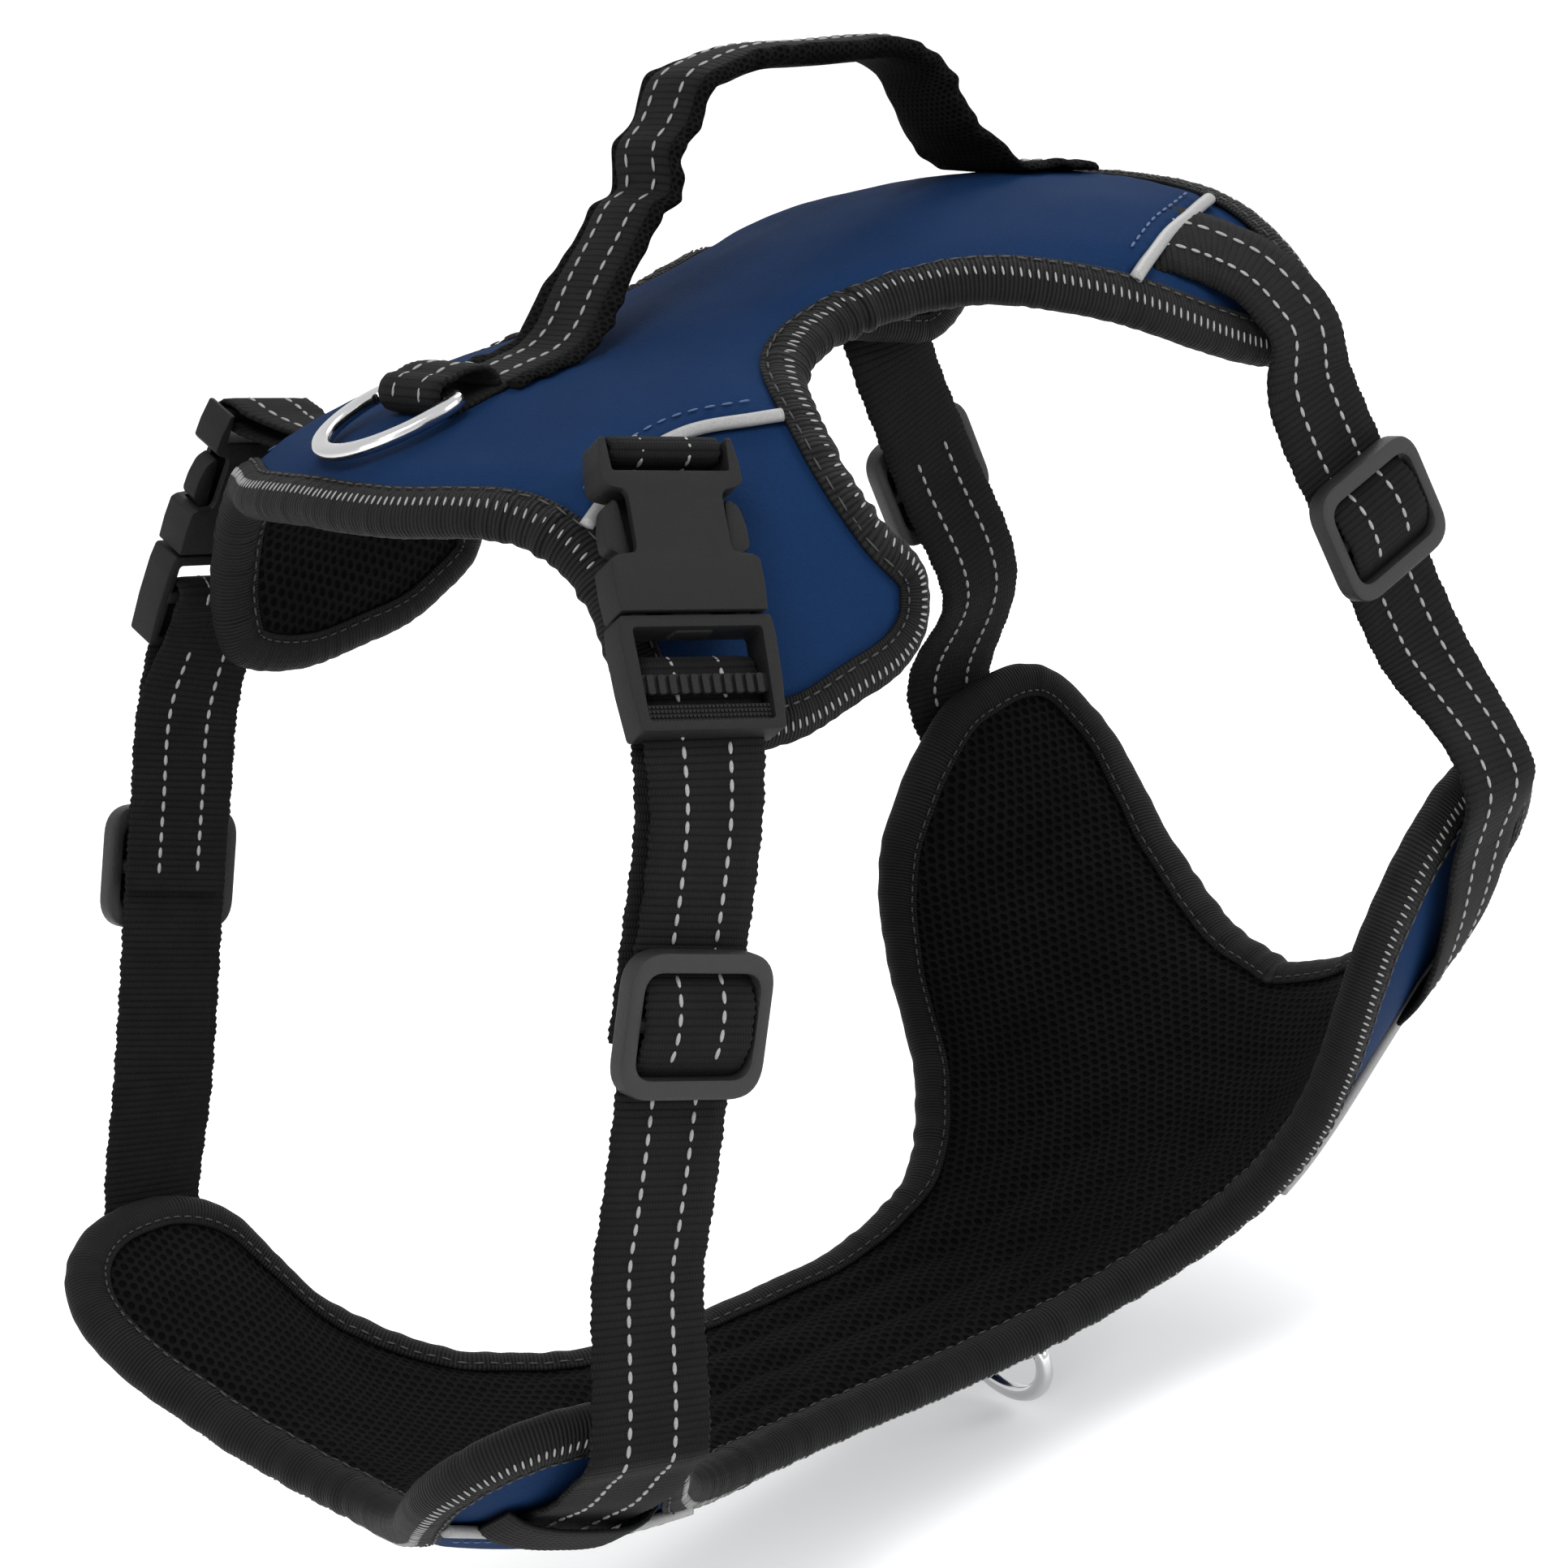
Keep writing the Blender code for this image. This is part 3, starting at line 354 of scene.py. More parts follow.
def loft(name, rings, look, along=None, across=None, closed=False):
    """Bridges rings of points that follow one another: rings[i, k] is point k of ring i."""
    count, size = rings.shape[:2]
    along = np.arange(count + 1.0) if along is None else along
    across = np.arange(size + 1.0) if across is None else across
    i, k = np.meshgrid(np.arange(count if closed else count - 1), np.arange(size), indexing="ij")
    i, k = i.ravel(), k.ravel()
    i2, k2 = (i + 1) % count, (k + 1) % size
    quads = np.column_stack([i * size + k, i2 * size + k, i2 * size + k2, i * size + k2])
    corners = ((i, k), (i + 1, k), (i + 1, k + 1), (i, k + 1))
    uvs = np.stack([np.column_stack([along[a], across[b]]) for a, b in corners], axis=1)
    faces, uvs = quads.tolist(), uvs.reshape(-1, 2).tolist()
    if not closed:
        for start, row in ((0, 0), ((count - 1) * size, count - 1)):
            faces.append(list(range(start, start + size)))
            uvs += [(along[row], across[k]) for k in range(size)]
    return add_object(name, rings.reshape(-1, 3), faces, look, uvs)


def pad_layer(name, grid, place, low, high, look):
    """A closed layer of a pad over a grid, between two depths given for each of its points."""
    flat, quads, rim = grid
    count = len(flat)
    levels = [place(flat[:, 0], flat[:, 1], depth)[0] for depth in (low, high)]
    faces = (quads + count).tolist() + quads[:, ::-1].tolist()
    faces += [(a, b, b + count, a + count) for a, b in rim]
    scaled = np.vstack([flat, flat]) * 1000
    uvs = scaled[np.array([v for face in faces for v in face])]
    return add_object(name, np.vstack(levels), faces, look, uvs)


def settle(obj, body, slot, *nodes):
    """Puts a piece on its body and hides the CAD nodes that it stands for. The slot that names its finish is
    not used.
    """
    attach(obj, body)
    if nodes:
        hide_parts(*nodes)
    return obj


# ---- Materials ----

class Look:
    """A material made of nodes, written as sums over a place on the piece."""

    def __init__(self, name, colour, roughness, **sockets):
        self.material = bpy.data.materials.new(name)
        self.material.use_nodes = True
        self.tree = self.material.node_tree
        self.shader = self.tree.nodes["Principled BSDF"]
        self.shader.inputs["Base Color"].default_value = (*colour, 1)
        self.shader.inputs["Roughness"].default_value = roughness
        for key, value in sockets.items():
            self.shader.inputs[key.replace("_", " ")].default_value = value

    def node(self, kind, inputs=(), **settings):
        made = self.tree.nodes.new(kind)
        for key, value in settings.items():
            setattr(made, key, value)
        for key, value in dict(inputs).items():
            if isinstance(value, bpy.types.NodeSocket):
                self.tree.links.new(value, made.inputs[key])
            else:
                made.inputs[key].default_value = value
        return made

    def sum(self, operation, *values):
        return self.node("ShaderNodeMath", enumerate(values), operation=operation).outputs[0]

    def uv(self):
        """The pattern's two coordinates in millimetres."""
        found = self.node("ShaderNodeUVMap", uv_map="pattern").outputs["UV"]
        parts = self.node("ShaderNodeSeparateXYZ", {"Vector": found})
        return parts.outputs["X"], parts.outputs["Y"]

    def noise(self, scale, detail=2.0, roughness=0.5):
        place = self.node("ShaderNodeTexCoord").outputs["Object"]
        inputs = {"Vector": place, "Scale": scale, "Detail": detail, "Roughness": roughness}
        return self.node("ShaderNodeTexNoise", inputs).outputs["Fac"]

    def wave(self, value, pitch):
        """Rounded ridges: 0 between them and 1 at their tops."""
        turned = self.sum("MULTIPLY", value, math.pi / pitch)
        return self.sum("ABSOLUTE", self.sum("SINE", turned))

    def paint(self, amount, low, high, socket="Base Color"):
        """Colours or roughness from low to high as amount goes from 0 to 1."""
        if isinstance(low, tuple):
            mix = self.node("ShaderNodeMix", data_type="RGBA")
            ends = [s for s in mix.inputs if s.type == "RGBA"]
            ends[0].default_value, ends[1].default_value = (*low, 1), (*high, 1)
            result = next(s for s in mix.outputs if s.type == "RGBA")
            self.tree.links.new(amount, mix.inputs[0])
        else:
            result = self.sum("MULTIPLY_ADD", amount, high - low, low)
        self.tree.links.new(result, self.shader.inputs[socket])

    def raise_by(self, height, distance, strength=1.0):
        inputs = {"Height": height, "Distance": distance, "Strength": strength}
        normal = self.node("ShaderNodeBump", inputs).outputs["Normal"]
        self.tree.links.new(normal, self.shader.inputs["Normal"])


def webbing_look():
    """Staggered rows of yarn, with shade painted into the colour between the rows and yarns."""
    dark, light = (0.0006, 0.0006, 0.0007), (0.0068, 0.0068, 0.0072)
    look = Look("webbing", light, 0.72, Specular_IOR_Level=0.07, Sheen_Weight=0.01, Sheen_Roughness=0.5)
    u, v = look.uv()
    rows = look.sum("DIVIDE", u, WEAVE_ROW)
    shift = look.sum("MULTIPLY", look.sum("FLOOR", rows), math.pi / 2)
    rib = look.sum("POWER", look.wave(rows, 1.0), 0.6)
    turned = look.sum("MULTIPLY_ADD", v, math.pi / YARN_PITCH, shift)
    yarn = look.sum("ABSOLUTE", look.sum("SINE", turned))
    weave = look.sum("MULTIPLY", rib, look.sum("MULTIPLY_ADD", yarn, 0.5, 0.5))
    fuzz = look.noise(2600, 3.0)
    patch = look.noise(140, 2.0)
    height = look.sum("MULTIPLY_ADD", fuzz, 0.35, weave)
    # Painted shade: amount follows the weave's height, so the colour darkens in the grooves between rows and
    # yarns, with random patchy tone over it.
    amount = look.sum("MULTIPLY", height, look.sum("MULTIPLY_ADD", patch, 0.7, 0.4))
    look.paint(amount, dark, light)
    look.raise_by(height, 0.00030)
    return look.material


def tape_look():
    look = Look("binding_tape", (0.01, 0.01, 0.01), 0.6, Specular_IOR_Level=0.08, Sheen_Weight=0.01,
                Sheen_Roughness=0.4)
    u, v = look.uv()
    rib = look.wave(u, TAPE_RIB)
    yarn = look.wave(v, 0.33)
    height = look.sum("ADD", rib, look.sum("MULTIPLY", yarn, 0.18))
    height = look.sum("MULTIPLY_ADD", look.noise(2400, 2.0), 0.25, height)
    amount = look.sum("MULTIPLY", height, look.sum("MULTIPLY_ADD", look.noise(90), 0.7, 0.3))
    # Painted shade: the colour is darker in the grooves between the ribs and yarns, with random patchy tone
    # over it.
    look.paint(amount, (0.0005, 0.0005, 0.0006), (0.0104, 0.0104, 0.0108))
    look.raise_by(height, 0.00036)
    return look.material


def mesh_look(name, row, pitch, depth):
    """Knitted spacer fabric with oval holes in staggered rows, painted near black inside the holes as shade.
    """
    look = Look(name, (0.008, 0.008, 0.008), 0.85, Specular_IOR_Level=0.04)
    u, v = look.uv()
    rows = look.sum("DIVIDE", u, row)
    odd = look.sum("MULTIPLY", look.sum("FLOORED_MODULO", look.sum("FLOOR", rows), 2.0), 0.5)
    across = look.sum("FRACT", look.sum("MULTIPLY_ADD", v, 1 / pitch, odd))
    x = look.sum("DIVIDE", look.sum("SUBTRACT", across, 0.5), 0.34)
    y = look.sum("DIVIDE", look.sum("SUBTRACT", look.sum("FRACT", rows), 0.5), 0.38)
    away = look.sum("SQRT", look.sum("ADD", look.sum("MULTIPLY", x, x), look.sum("MULTIPLY", y, y)))
    rim = look.node("ShaderNodeMapRange", {"Value": away, "From Min": 0.55, "From Max": 1.15},
                    interpolation_type="SMOOTHSTEP").outputs[0]
    knit = look.noise(1900, 3.0)
    height = look.sum("MULTIPLY_ADD", knit, 0.3, rim)
    # Painted shade: the colour goes near black in the holes, where shade falls, with random patchy tone over
    # the knit.
    look.paint(look.sum("MULTIPLY", height, look.sum("MULTIPLY_ADD", look.noise(60), 0.6, 0.4)),
               (0.0001, 0.0001, 0.0001), (0.0046, 0.0046, 0.0048))
    look.raise_by(height, depth)
    return look.material


def shell_look():
    look = Look("softshell", (0.004, 0.0155, 0.049), 0.75, Specular_IOR_Level=0.03)
    grain = look.noise(1500, 3.0, 0.7)
    broad = look.noise(35, 2.0)
    mixed = look.sum("MULTIPLY_ADD", grain, 0.5, look.sum("MULTIPLY", broad, 0.5))
    look.paint(mixed, (0.0026, 0.0108, 0.0370), (0.0062, 0.0220, 0.0660))
    look.raise_by(look.sum("MULTIPLY_ADD", broad, 0.6, grain), 0.00022, 1.0)
    return look.material


def plastic_look(name, colour=(0.0056, 0.0056, 0.0058), shine=0.14):
    look = Look(name, colour, 0.46, Specular_IOR_Level=shine)
    grain = look.noise(1700, 4.0, 0.75)
    wear = look.noise(55, 3.0)
    look.paint(wear, 0.40, 0.56, "Roughness")
    tone = look.sum("MULTIPLY_ADD", grain, 0.6, look.sum("MULTIPLY", wear, 0.4))
    look.paint(tone, tuple(c * 0.7 for c in colour), tuple(c * 1.5 for c in colour))
    look.raise_by(grain, 0.00020, 1.0)
    return look.material


def thread_look(name, low, high, roughness):
    look = Look(name, high, roughness)
    twist = look.noise(2200, 2.0)
    look.paint(twist, low, high)
    look.raise_by(twist, 0.00010, 0.6)
    return look.material


def chrome_look():
    look = Look("ring_metal", (0.60, 0.60, 0.61), 0.16, Metallic=1.0)
    scuff = look.noise(420, 4.0, 0.65)
    look.paint(scuff, 0.08, 0.24, "Roughness")
    look.raise_by(look.noise(130, 2.0), 0.00004, 0.5)
    return look.material


def elastic_look():
    look = Look("elastic", (0.010, 0.010, 0.010), 0.7, Specular_IOR_Level=0.08)
    u, v = look.uv()
    cords = look.wave(v, 1.25)
    knit = look.wave(u, 0.55)
    height = look.sum("MULTIPLY_ADD", knit, 0.3, look.sum("POWER", cords, 0.6))
    # Painted shade: the colour follows the height, darker in the grooves between the cords and knit rows.
    look.paint(height, (0.0008, 0.0008, 0.0009), (0.0070, 0.0070, 0.0074))
    look.raise_by(height, 0.00020)
    return look.material


WEBBING = webbing_look()
TAPE = tape_look()
AIR_MESH = mesh_look("air_mesh", MESH_ROW, MESH_PITCH, 0.00085)
WRAP_MESH = mesh_look("handle_mesh", 1.15, 1.6, 0.0005)
SOFTSHELL = shell_look()
PLASTIC = plastic_look("black_plastic")
SLIDER_PLASTIC = plastic_look("slider_plastic", (0.009, 0.009, 0.0094), shine=0.28)
REFLECTIVE = thread_look("reflective_piping", (0.15, 0.15, 0.15), (0.25, 0.25, 0.248), 0.5)
GREY_THREAD = thread_look("reflective_thread", (0.11, 0.11, 0.108), (0.24, 0.24, 0.236), 0.5)
BLUE_THREAD = thread_look("blue_thread", (0.010, 0.032, 0.095), (0.020, 0.054, 0.145), 0.6)
BLACK_THREAD = thread_look("black_thread", (0.004, 0.004, 0.0044), (0.013, 0.013, 0.014), 0.6)
CHROME = chrome_look()
ELASTIC = elastic_look()


# ---- Bands and stitches ----

class Track:
    """A band's middle line, with its directions across and out of its face at each step."""

    def __init__(self, path, step=0.0005, side=1):
        rows = resample([(*point, *normal) for point, normal in path], step)
        rows[:, (1, 4)] *= side
        self.middle = rows[:, :3]
        self.heading = unit(np.gradient(self.middle, axis=0))
        self.across = unit(np.cross(rows[:, 3:], self.heading)) * side
        self.up = np.cross(self.heading, self.across) * side
        gaps = np.linalg.norm(np.diff(self.middle, axis=0), axis=1)
        self.run = np.concatenate([[0], np.cumsum(gaps)])
        self.cup = np.zeros(len(self.run))  # how far the edges bend down, per squared half width

    def shifted(self, offset):
        """Moves the middle line out of the band's face, by an amount for each step."""
        self.middle = self.middle + self.up * np.reshape(offset, (-1, 1))
        return self

    def at(self, where):
        def read(values):
            return np.column_stack([np.interp(where, self.run, values[:, k]) for k in range(3)])
        return read(self.middle), unit(read(self.across)), unit(read(self.up))


def strap(name, track, look, width=WEB_WIDTH, thick=WEB_THICK, wave=0.00022, seed=0):
    """Woven webbing with wavy selvedges."""
    half, top = width / 2, thick / 2
    columns = np.linspace(-1, 1, 9) * (half - 0.0005)
    across = np.concatenate([columns, [half], columns[::-1], [-half]])
    up = np.concatenate([np.full(9, top), [0], np.full(9, -top), [0]])
    up[[0, 8, 10, 18]] *= 0.8
    draw = np.random.default_rng(seed)
    beat = track.run[:, None] * math.tau / SELVEDGE_PITCH + draw.uniform(0, 6, 2)
    edge = np.sin(beat) * wave + np.sin(beat * 0.23) * wave * 0.7
    right, left = (np.clip((out - half + SELVEDGE) / SELVEDGE, 0, 1) for out in (across, -across))
    wide = across + edge[:, :1] * right - edge[:, 1:] * left
    ripple = 0.00006 * np.cos(track.run * math.tau * 1000 / WEAVE_ROW)
    high = up * (1 + ripple[:, None] / top) - track.cup[:, None] * across**2
    rings = (track.middle[:, None] + track.across[:, None] * wide[:, :, None]
             + track.up[:, None] * high[:, :, None])
    v = np.append(across, across[0]) * 1000
    return loft(name, rings, look, np.append(track.run, track.run[-1]) * 1000, v)


def stitches(name, starts, ends, ups, width, height, look):
    """Small raised threads, one from each start to its end."""
    count = len(starts)
    t = np.array([0.0, 0.12, 0.35, 0.65, 0.88, 1.0])
    swell = np.array([0.25, 0.72, 1.0, 1.0, 0.72, 0.25])
    turn = np.radians(np.arange(0, 360, 60))
    run = ends - starts
    aside = unit(np.cross(ups, run))
    middle = starts[:, None] + run[:, None] * t[None, :, None]
    wide = (np.cos(turn) * width / 2)[None, :] * swell[:, None]
    high = (np.sin(turn) * height)[None, :] * swell[:, None]
    rings = (middle[:, :, None] + aside[:, None, None] * wide[None, :, :, None]
             + ups[:, None, None] * high[None, :, :, None])
    faces = []
    size = len(turn)
    for n in range(count):
        base = n * len(t) * size
        for i in range(len(t) - 1):
            for k in range(size):
                a, b = base + i * size + k, base + i * size + (k + 1) % size
                faces.append((a, a + size, b + size, b))
        faces.append(tuple(base + k for k in range(size)))
        faces.append(tuple(base + (len(t) - 1) * size + k for k in reversed(range(size))))
    return add_object(name, rings.reshape(-1, 3), faces, look)


def dashes(name, track, face=1, thick=WEB_THICK, start=0.0015, end=None):
    """Two lines of reflective thread along a strap's outer face, or with face -1 along its inner one."""
    end = track.run[-1] - 0.0015 if end is None else end
    starts, ends, ups = [], [], []
    for order, line in enumerate((-DASH_LINE, DASH_LINE)):
        first = np.arange(start + 0.0006 * order, end - DASH_LENGTH / 1000, DASH_PITCH / 1000)
        for at, group in ((first, starts), (first + DASH_LENGTH / 1000, ends)):
            middle, across, up = track.at(at)
            drop = np.interp(at, track.run, track.cup)[:, None] * line**2
            group.append(middle + across * line + up * (face * (thick / 2 + 0.00008) - drop))
        ups.append(up * face)
    return stitches(name, np.vstack(starts), np.vstack(ends), np.vstack(ups), DASH_WIDTH, DASH_HEIGHT,
                    GREY_THREAD)


def band(name, track, body, node, **shape):
    """Black webbing that rides on a body."""
    settle(strap(name, track, WEBBING, **shape), body, "webbing", node)


def threads(name, track, body, **reach):
    settle(dashes(name, track, **reach), body, "reflective_piping")


def axes_at(origin, run, outward):
    """Axes with the first along a strap and the third out of its face."""
    run = run.normalized()
    across = outward.cross(run).normalized()
    turned = Matrix((run, across, run.cross(across))).transposed().to_4x4()
    return Matrix.Translation(origin) @ turned


def profile_track(profile, axes, side):
    """A band's track from its (u, n) profile in a pair of axes, facing to the left of its run."""
    step = 0.0004
    points = resample([(u, n, 0.0) for u, n in profile], step)[:, :2]
    run = unit(np.gradient(points, axis=0))
    path = []
    for (u, n), (du, dn) in zip(points, run):
        path.append((axes @ Vector((u, 0, n)), axes.to_3x3() @ Vector((-dn, 0, du))))
    return Track([(p, q) for p, q in path], step, side)


# ---- Pads ----

def pad(label, edge, seams, place, seed):
    """Padding, shell, raised cover, edge tape, piping and all the stitching of one pad."""
    outline = full_outline(edge, 0.0016)
    folds = Waves(seed, 0.034)
    small = Waves(seed + 1, 0.011)
    grid = region(moved_in(outline, MESH_INSET), 0.0017)
    flat = grid[0]
    along, around = flat.T
    to_edge = nearest_on(outline, flat)[0]
    body = smooth_step((to_edge - 0.0080) / 0.0085)
    crown = 0.0021 * body + 0.0007 * smooth_step((to_edge - 0.014) / 0.016)
    crown += body * (0.00055 * folds.at(along, around) + 0.00016 * small.at(along, around))
    if label == "chest":
        middle = smooth_step((along - 0.050) / 0.030) * smooth_step((0.262 - along) / 0.040)
        drift = 0.0016 * np.sin(along * 31)
        channel = np.abs(np.sin((around + drift) * math.pi / CHANNEL_PITCH))
        crown += middle * body * (0.0022 * channel**0.7 - 0.0012)
        crown -= 0.0020 * np.exp(-(((along - 0.178) / 0.010) ** 2 + ((around - 0.012) / 0.016) ** 2))
    low = -0.0002 - crown
    piece = pad_layer(f"{label}_padding", grid, place, low, np.full(len(flat), SHELL_LOW), AIR_MESH)
    settle(piece, "harness", "air_mesh", f"{label}_lining", f"{label}_foam")

    soft = 0.00025 * folds.at(along, around) * body
    top = SHELL_TOP - 0.0001 + soft
    piece = pad_layer(f"{label}_softshell", grid, place, top - SOFTSHELL_THICK, top, SOFTSHELL)
    settle(piece, "harness", "softshell", f"{label}_shell")

    cover_outline = moved_in(outline, COVER_INSET)
    fine_seams = {}
    for key, seam in seams.items():
        fine = resample(np.column_stack([seam, np.zeros(len(seam))]), 0.0012)[:, :2]
        run = unit(np.gradient(fine, axis=0))
        longer = np.vstack([fine[0] - run[0] * np.arange(4, 0, -1)[:, None] * 0.0012, fine,
                            fine[-1] + run[-1] * np.arange(1, 5)[:, None] * 0.0012])
        fine_seams[key] = longer
        cover_outline = trimmed(cover_outline, longer)
    grid = region(cover_outline, 0.0016)
    flat = grid[0]
    along, around = flat.T
    to_edge = nearest_on(outline, flat)[0]
    to_rim = nearest_on(cover_outline, flat)[0]
    rise = smooth_step((to_edge - 0.0076) / 0.0090)
    high = COVER_LOW + 0.0003 + 0.0016 * rise + 0.0005 * smooth_step((to_edge - 0.014) / 0.022)
    high += rise * (0.00042 * folds.at(along + 0.1, around) + 0.00010 * small.at(along, around))
    for seam in fine_seams.values():
        for mirrored in (1, -1):
            away = nearest_open(seam * (1, mirrored), flat)
            high -= 0.00042 * np.exp(-(((away - STITCH_BESIDE) / 0.0007) ** 2))
    high -= 0.0004 * (1 - smooth_step(to_rim / 0.0018)) * rise
    low = np.full(len(flat), COVER_LOW)
    piece = pad_layer(f"{label}_cover_panel", grid, place, low, high, SOFTSHELL)
    settle(piece, "harness", "softshell", f"{label}_cover")

    binding(label, edge, place, seed)
    for key, seam in fine_seams.items():
        for side, mirrored in SIDES:
            piping(f"{label}_{key}_piping", side, mirrored, seam, place)


def nearest_open(line, points):
    """Distance from each point to an open line."""
    return np.min([np.linalg.norm(points - spot, axis=1) for spot in line], axis=0)


def edge_thinning(reach):
    """How much thinner a pad's edge is on each face, at a distance in from it."""
    return 0.0009 * (1 - smooth_step(reach / 0.0085))


def tape_top(reach):
    """Depth of the tape's outer face at a distance in from the pad's edge."""
    inside = np.clip(1 - reach / TAPE_NOSE, 0, 1)
    flat = TAPE_MIDDLE + (TAPE_HALF - edge_thinning(reach)) * np.sqrt(1 - inside**2)
    return flat - 0.0006 * np.clip((reach - 0.0062) / 0.0026, 0, 1)


def binding(label, edge, place, seed):
    """Ribbed tape folded over a pad's edge, with its ladder of reflective stitches."""
    outline = full_outline(edge, 0.0006)
    run = unit(np.roll(outline, -3, axis=0) - np.roll(outline, 3, axis=0))
    turned = run[:, 0] * np.roll(run, -6, axis=0)[:, 1] - run[:, 1] * np.roll(run, -6, axis=0)[:, 0]
    hollow = np.convolve(np.tile(np.clip(turned * 5, 0, 1), 3), np.ones(31) / 31, "same")
    hollow = hollow[len(outline):2 * len(outline)]
    gaps = np.linalg.norm(np.roll(outline, -1, axis=0) - outline, axis=1)
    length = np.concatenate([[0], np.cumsum(gaps)])
    place_on = length[:-1]
    wander = Waves(seed + 5, 0.022)
    crumple = Waves(seed + 6, 0.0042)
    outline = moved_in(outline, 0.00045 * wander.at(place_on))
    dip = crumple.at(place_on)
    pucker = (0.00015 + 0.00075 * hollow) * dip

    nose = [(TAPE_NOSE * (1 - math.cos(a)), -math.sin(a)) for a in np.radians(np.linspace(84, -84, 11))]
    outer = [(0.0088, -0.86), (0.0081, -0.90), (0.0073, -0.87), (0.0064, -0.95), (0.0054, -1.0)]
    outer += [(reach, high) for reach, high in nose]
    outer += [(0.0054, 1.0), (0.0064, 0.95), (0.0073, 0.87), (0.0081, 0.90), (0.0088, 0.86)]
    inner = [(0.0088, 0.70), (0.0054, 0.80), (0.0030, 0.66), (0.0014, 0.0), (0.0030, -0.66),
             (0.0054, -0.80), (0.0088, -0.70)]
    section = [(r, TAPE_MIDDLE + h * (TAPE_HALF - edge_thinning(r)), h) for r, h in outer + inner]
    columns, v = [], [0.0]
    for k, (reach, depth, side) in enumerate(section):
        tip = max(0.0, 1 - reach / TAPE_NOSE)
        flat = moved_in(outline, reach - pucker * tip)
        lift = pucker * (1 - tip) * (1 if side > 0 else -1) * (reach < 0.0085)
        columns.append(place(flat[:, 0], flat[:, 1], depth + lift)[0])
        following = section[(k + 1) % len(section)]
        v.append(v[-1] + math.hypot(following[0] - reach, following[1] - depth) * 1000)
    rings = np.stack(columns, axis=1)
    piece = loft(f"{label}_edge_tape", rings, TAPE, length * 1000, np.array(v), closed=True)
    settle(piece, "harness", "binding_tape", f"{label}_binding")

    def seam(name, first, last, pitch, long, width, look, outside, slot):
        """Stitches at an even spacing along the tape, from one distance in to another."""
        at = np.arange(0, length[-1] - pitch, pitch)
        ends = []
        for reach, move in ((first, 0), (last, long)):
            spots = moved_in(outline, reach)
            spot = np.column_stack([np.interp(at + move, place_on, spots[:, k]) for k in range(2)])
            lift = np.interp(at + move, place_on, pucker * (reach > 0.0035))
            depth = tape_top(reach) + lift + 0.00006
            if not outside:
                depth = 2 * TAPE_MIDDLE - depth
            ends.append(place(spot[:, 0], spot[:, 1], depth))
        ups = (ends[0][1] + ends[1][1]) / 2 * (1 if outside else -1)
        obj = stitches(name, ends[0][0], ends[1][0], unit(ups), width, THREAD_HEIGHT, look)
        settle(obj, "harness", slot)

    seam(f"{label}_ladder_stitches", 0.0024, 0.0043, LADDER_PITCH / 1000, 0.00022, 0.00052, GREY_THREAD, True,
         "reflective_piping")
    for face, outside in (("outer", True), ("inner", False)):
        seam(f"{label}_{face}_seam", TAPE_SEAM, TAPE_SEAM, 0.0031, 0.0021, 0.0005, BLACK_THREAD, outside,
             "binding_tape")


def piping(name, side, mirrored, seam, place):
    """A covered cord at the open end of a cover, and the blue stitches beside it."""
    run = unit(np.gradient(seam, axis=0))
    out = np.column_stack([-run[:, 1], run[:, 0]])
    out *= np.sign(out[:, 1:])
    cord = seam + out * 0.0008
    points, normals = place(cord[:, 0], cord[:, 1] * mirrored, np.full(len(cord), 0.0074))
    heading = unit(np.gradient(points, axis=0))
    across = np.cross(normals, heading)
    turn = np.radians(np.arange(0, 360, 30))
    rings = (points[:, None] + across[:, None] * (PIPING_HALF_WIDTH * np.cos(turn))[None, :, None]
             + normals[:, None] * (PIPING_HALF_HEIGHT * np.sin(turn))[None, :, None])
    piece = loft(f"{name}_cord_{side}", rings, REFLECTIVE)
    settle(piece, "harness", "reflective_piping", f"{name}_{side}")
    line = resample(np.column_stack([seam - out * STITCH_BESIDE, np.zeros(len(seam))]), 0.0034)[2:-2, :2]
    heading = unit(np.gradient(line, axis=0))
    depths = np.full(len(line), 0.0084)
    starts = place(line[:, 0], line[:, 1] * mirrored, depths)
    last = line + heading * 0.0022
    ends = place(last[:, 0], last[:, 1] * mirrored, depths)
    name = f"{name}_stitches_{side}"
    piece = stitches(name, starts[0], ends[0], starts[1], 0.00065, THREAD_HEIGHT, BLUE_THREAD)
    settle(piece, "harness", "softshell")


# ---- Handle and rings ----

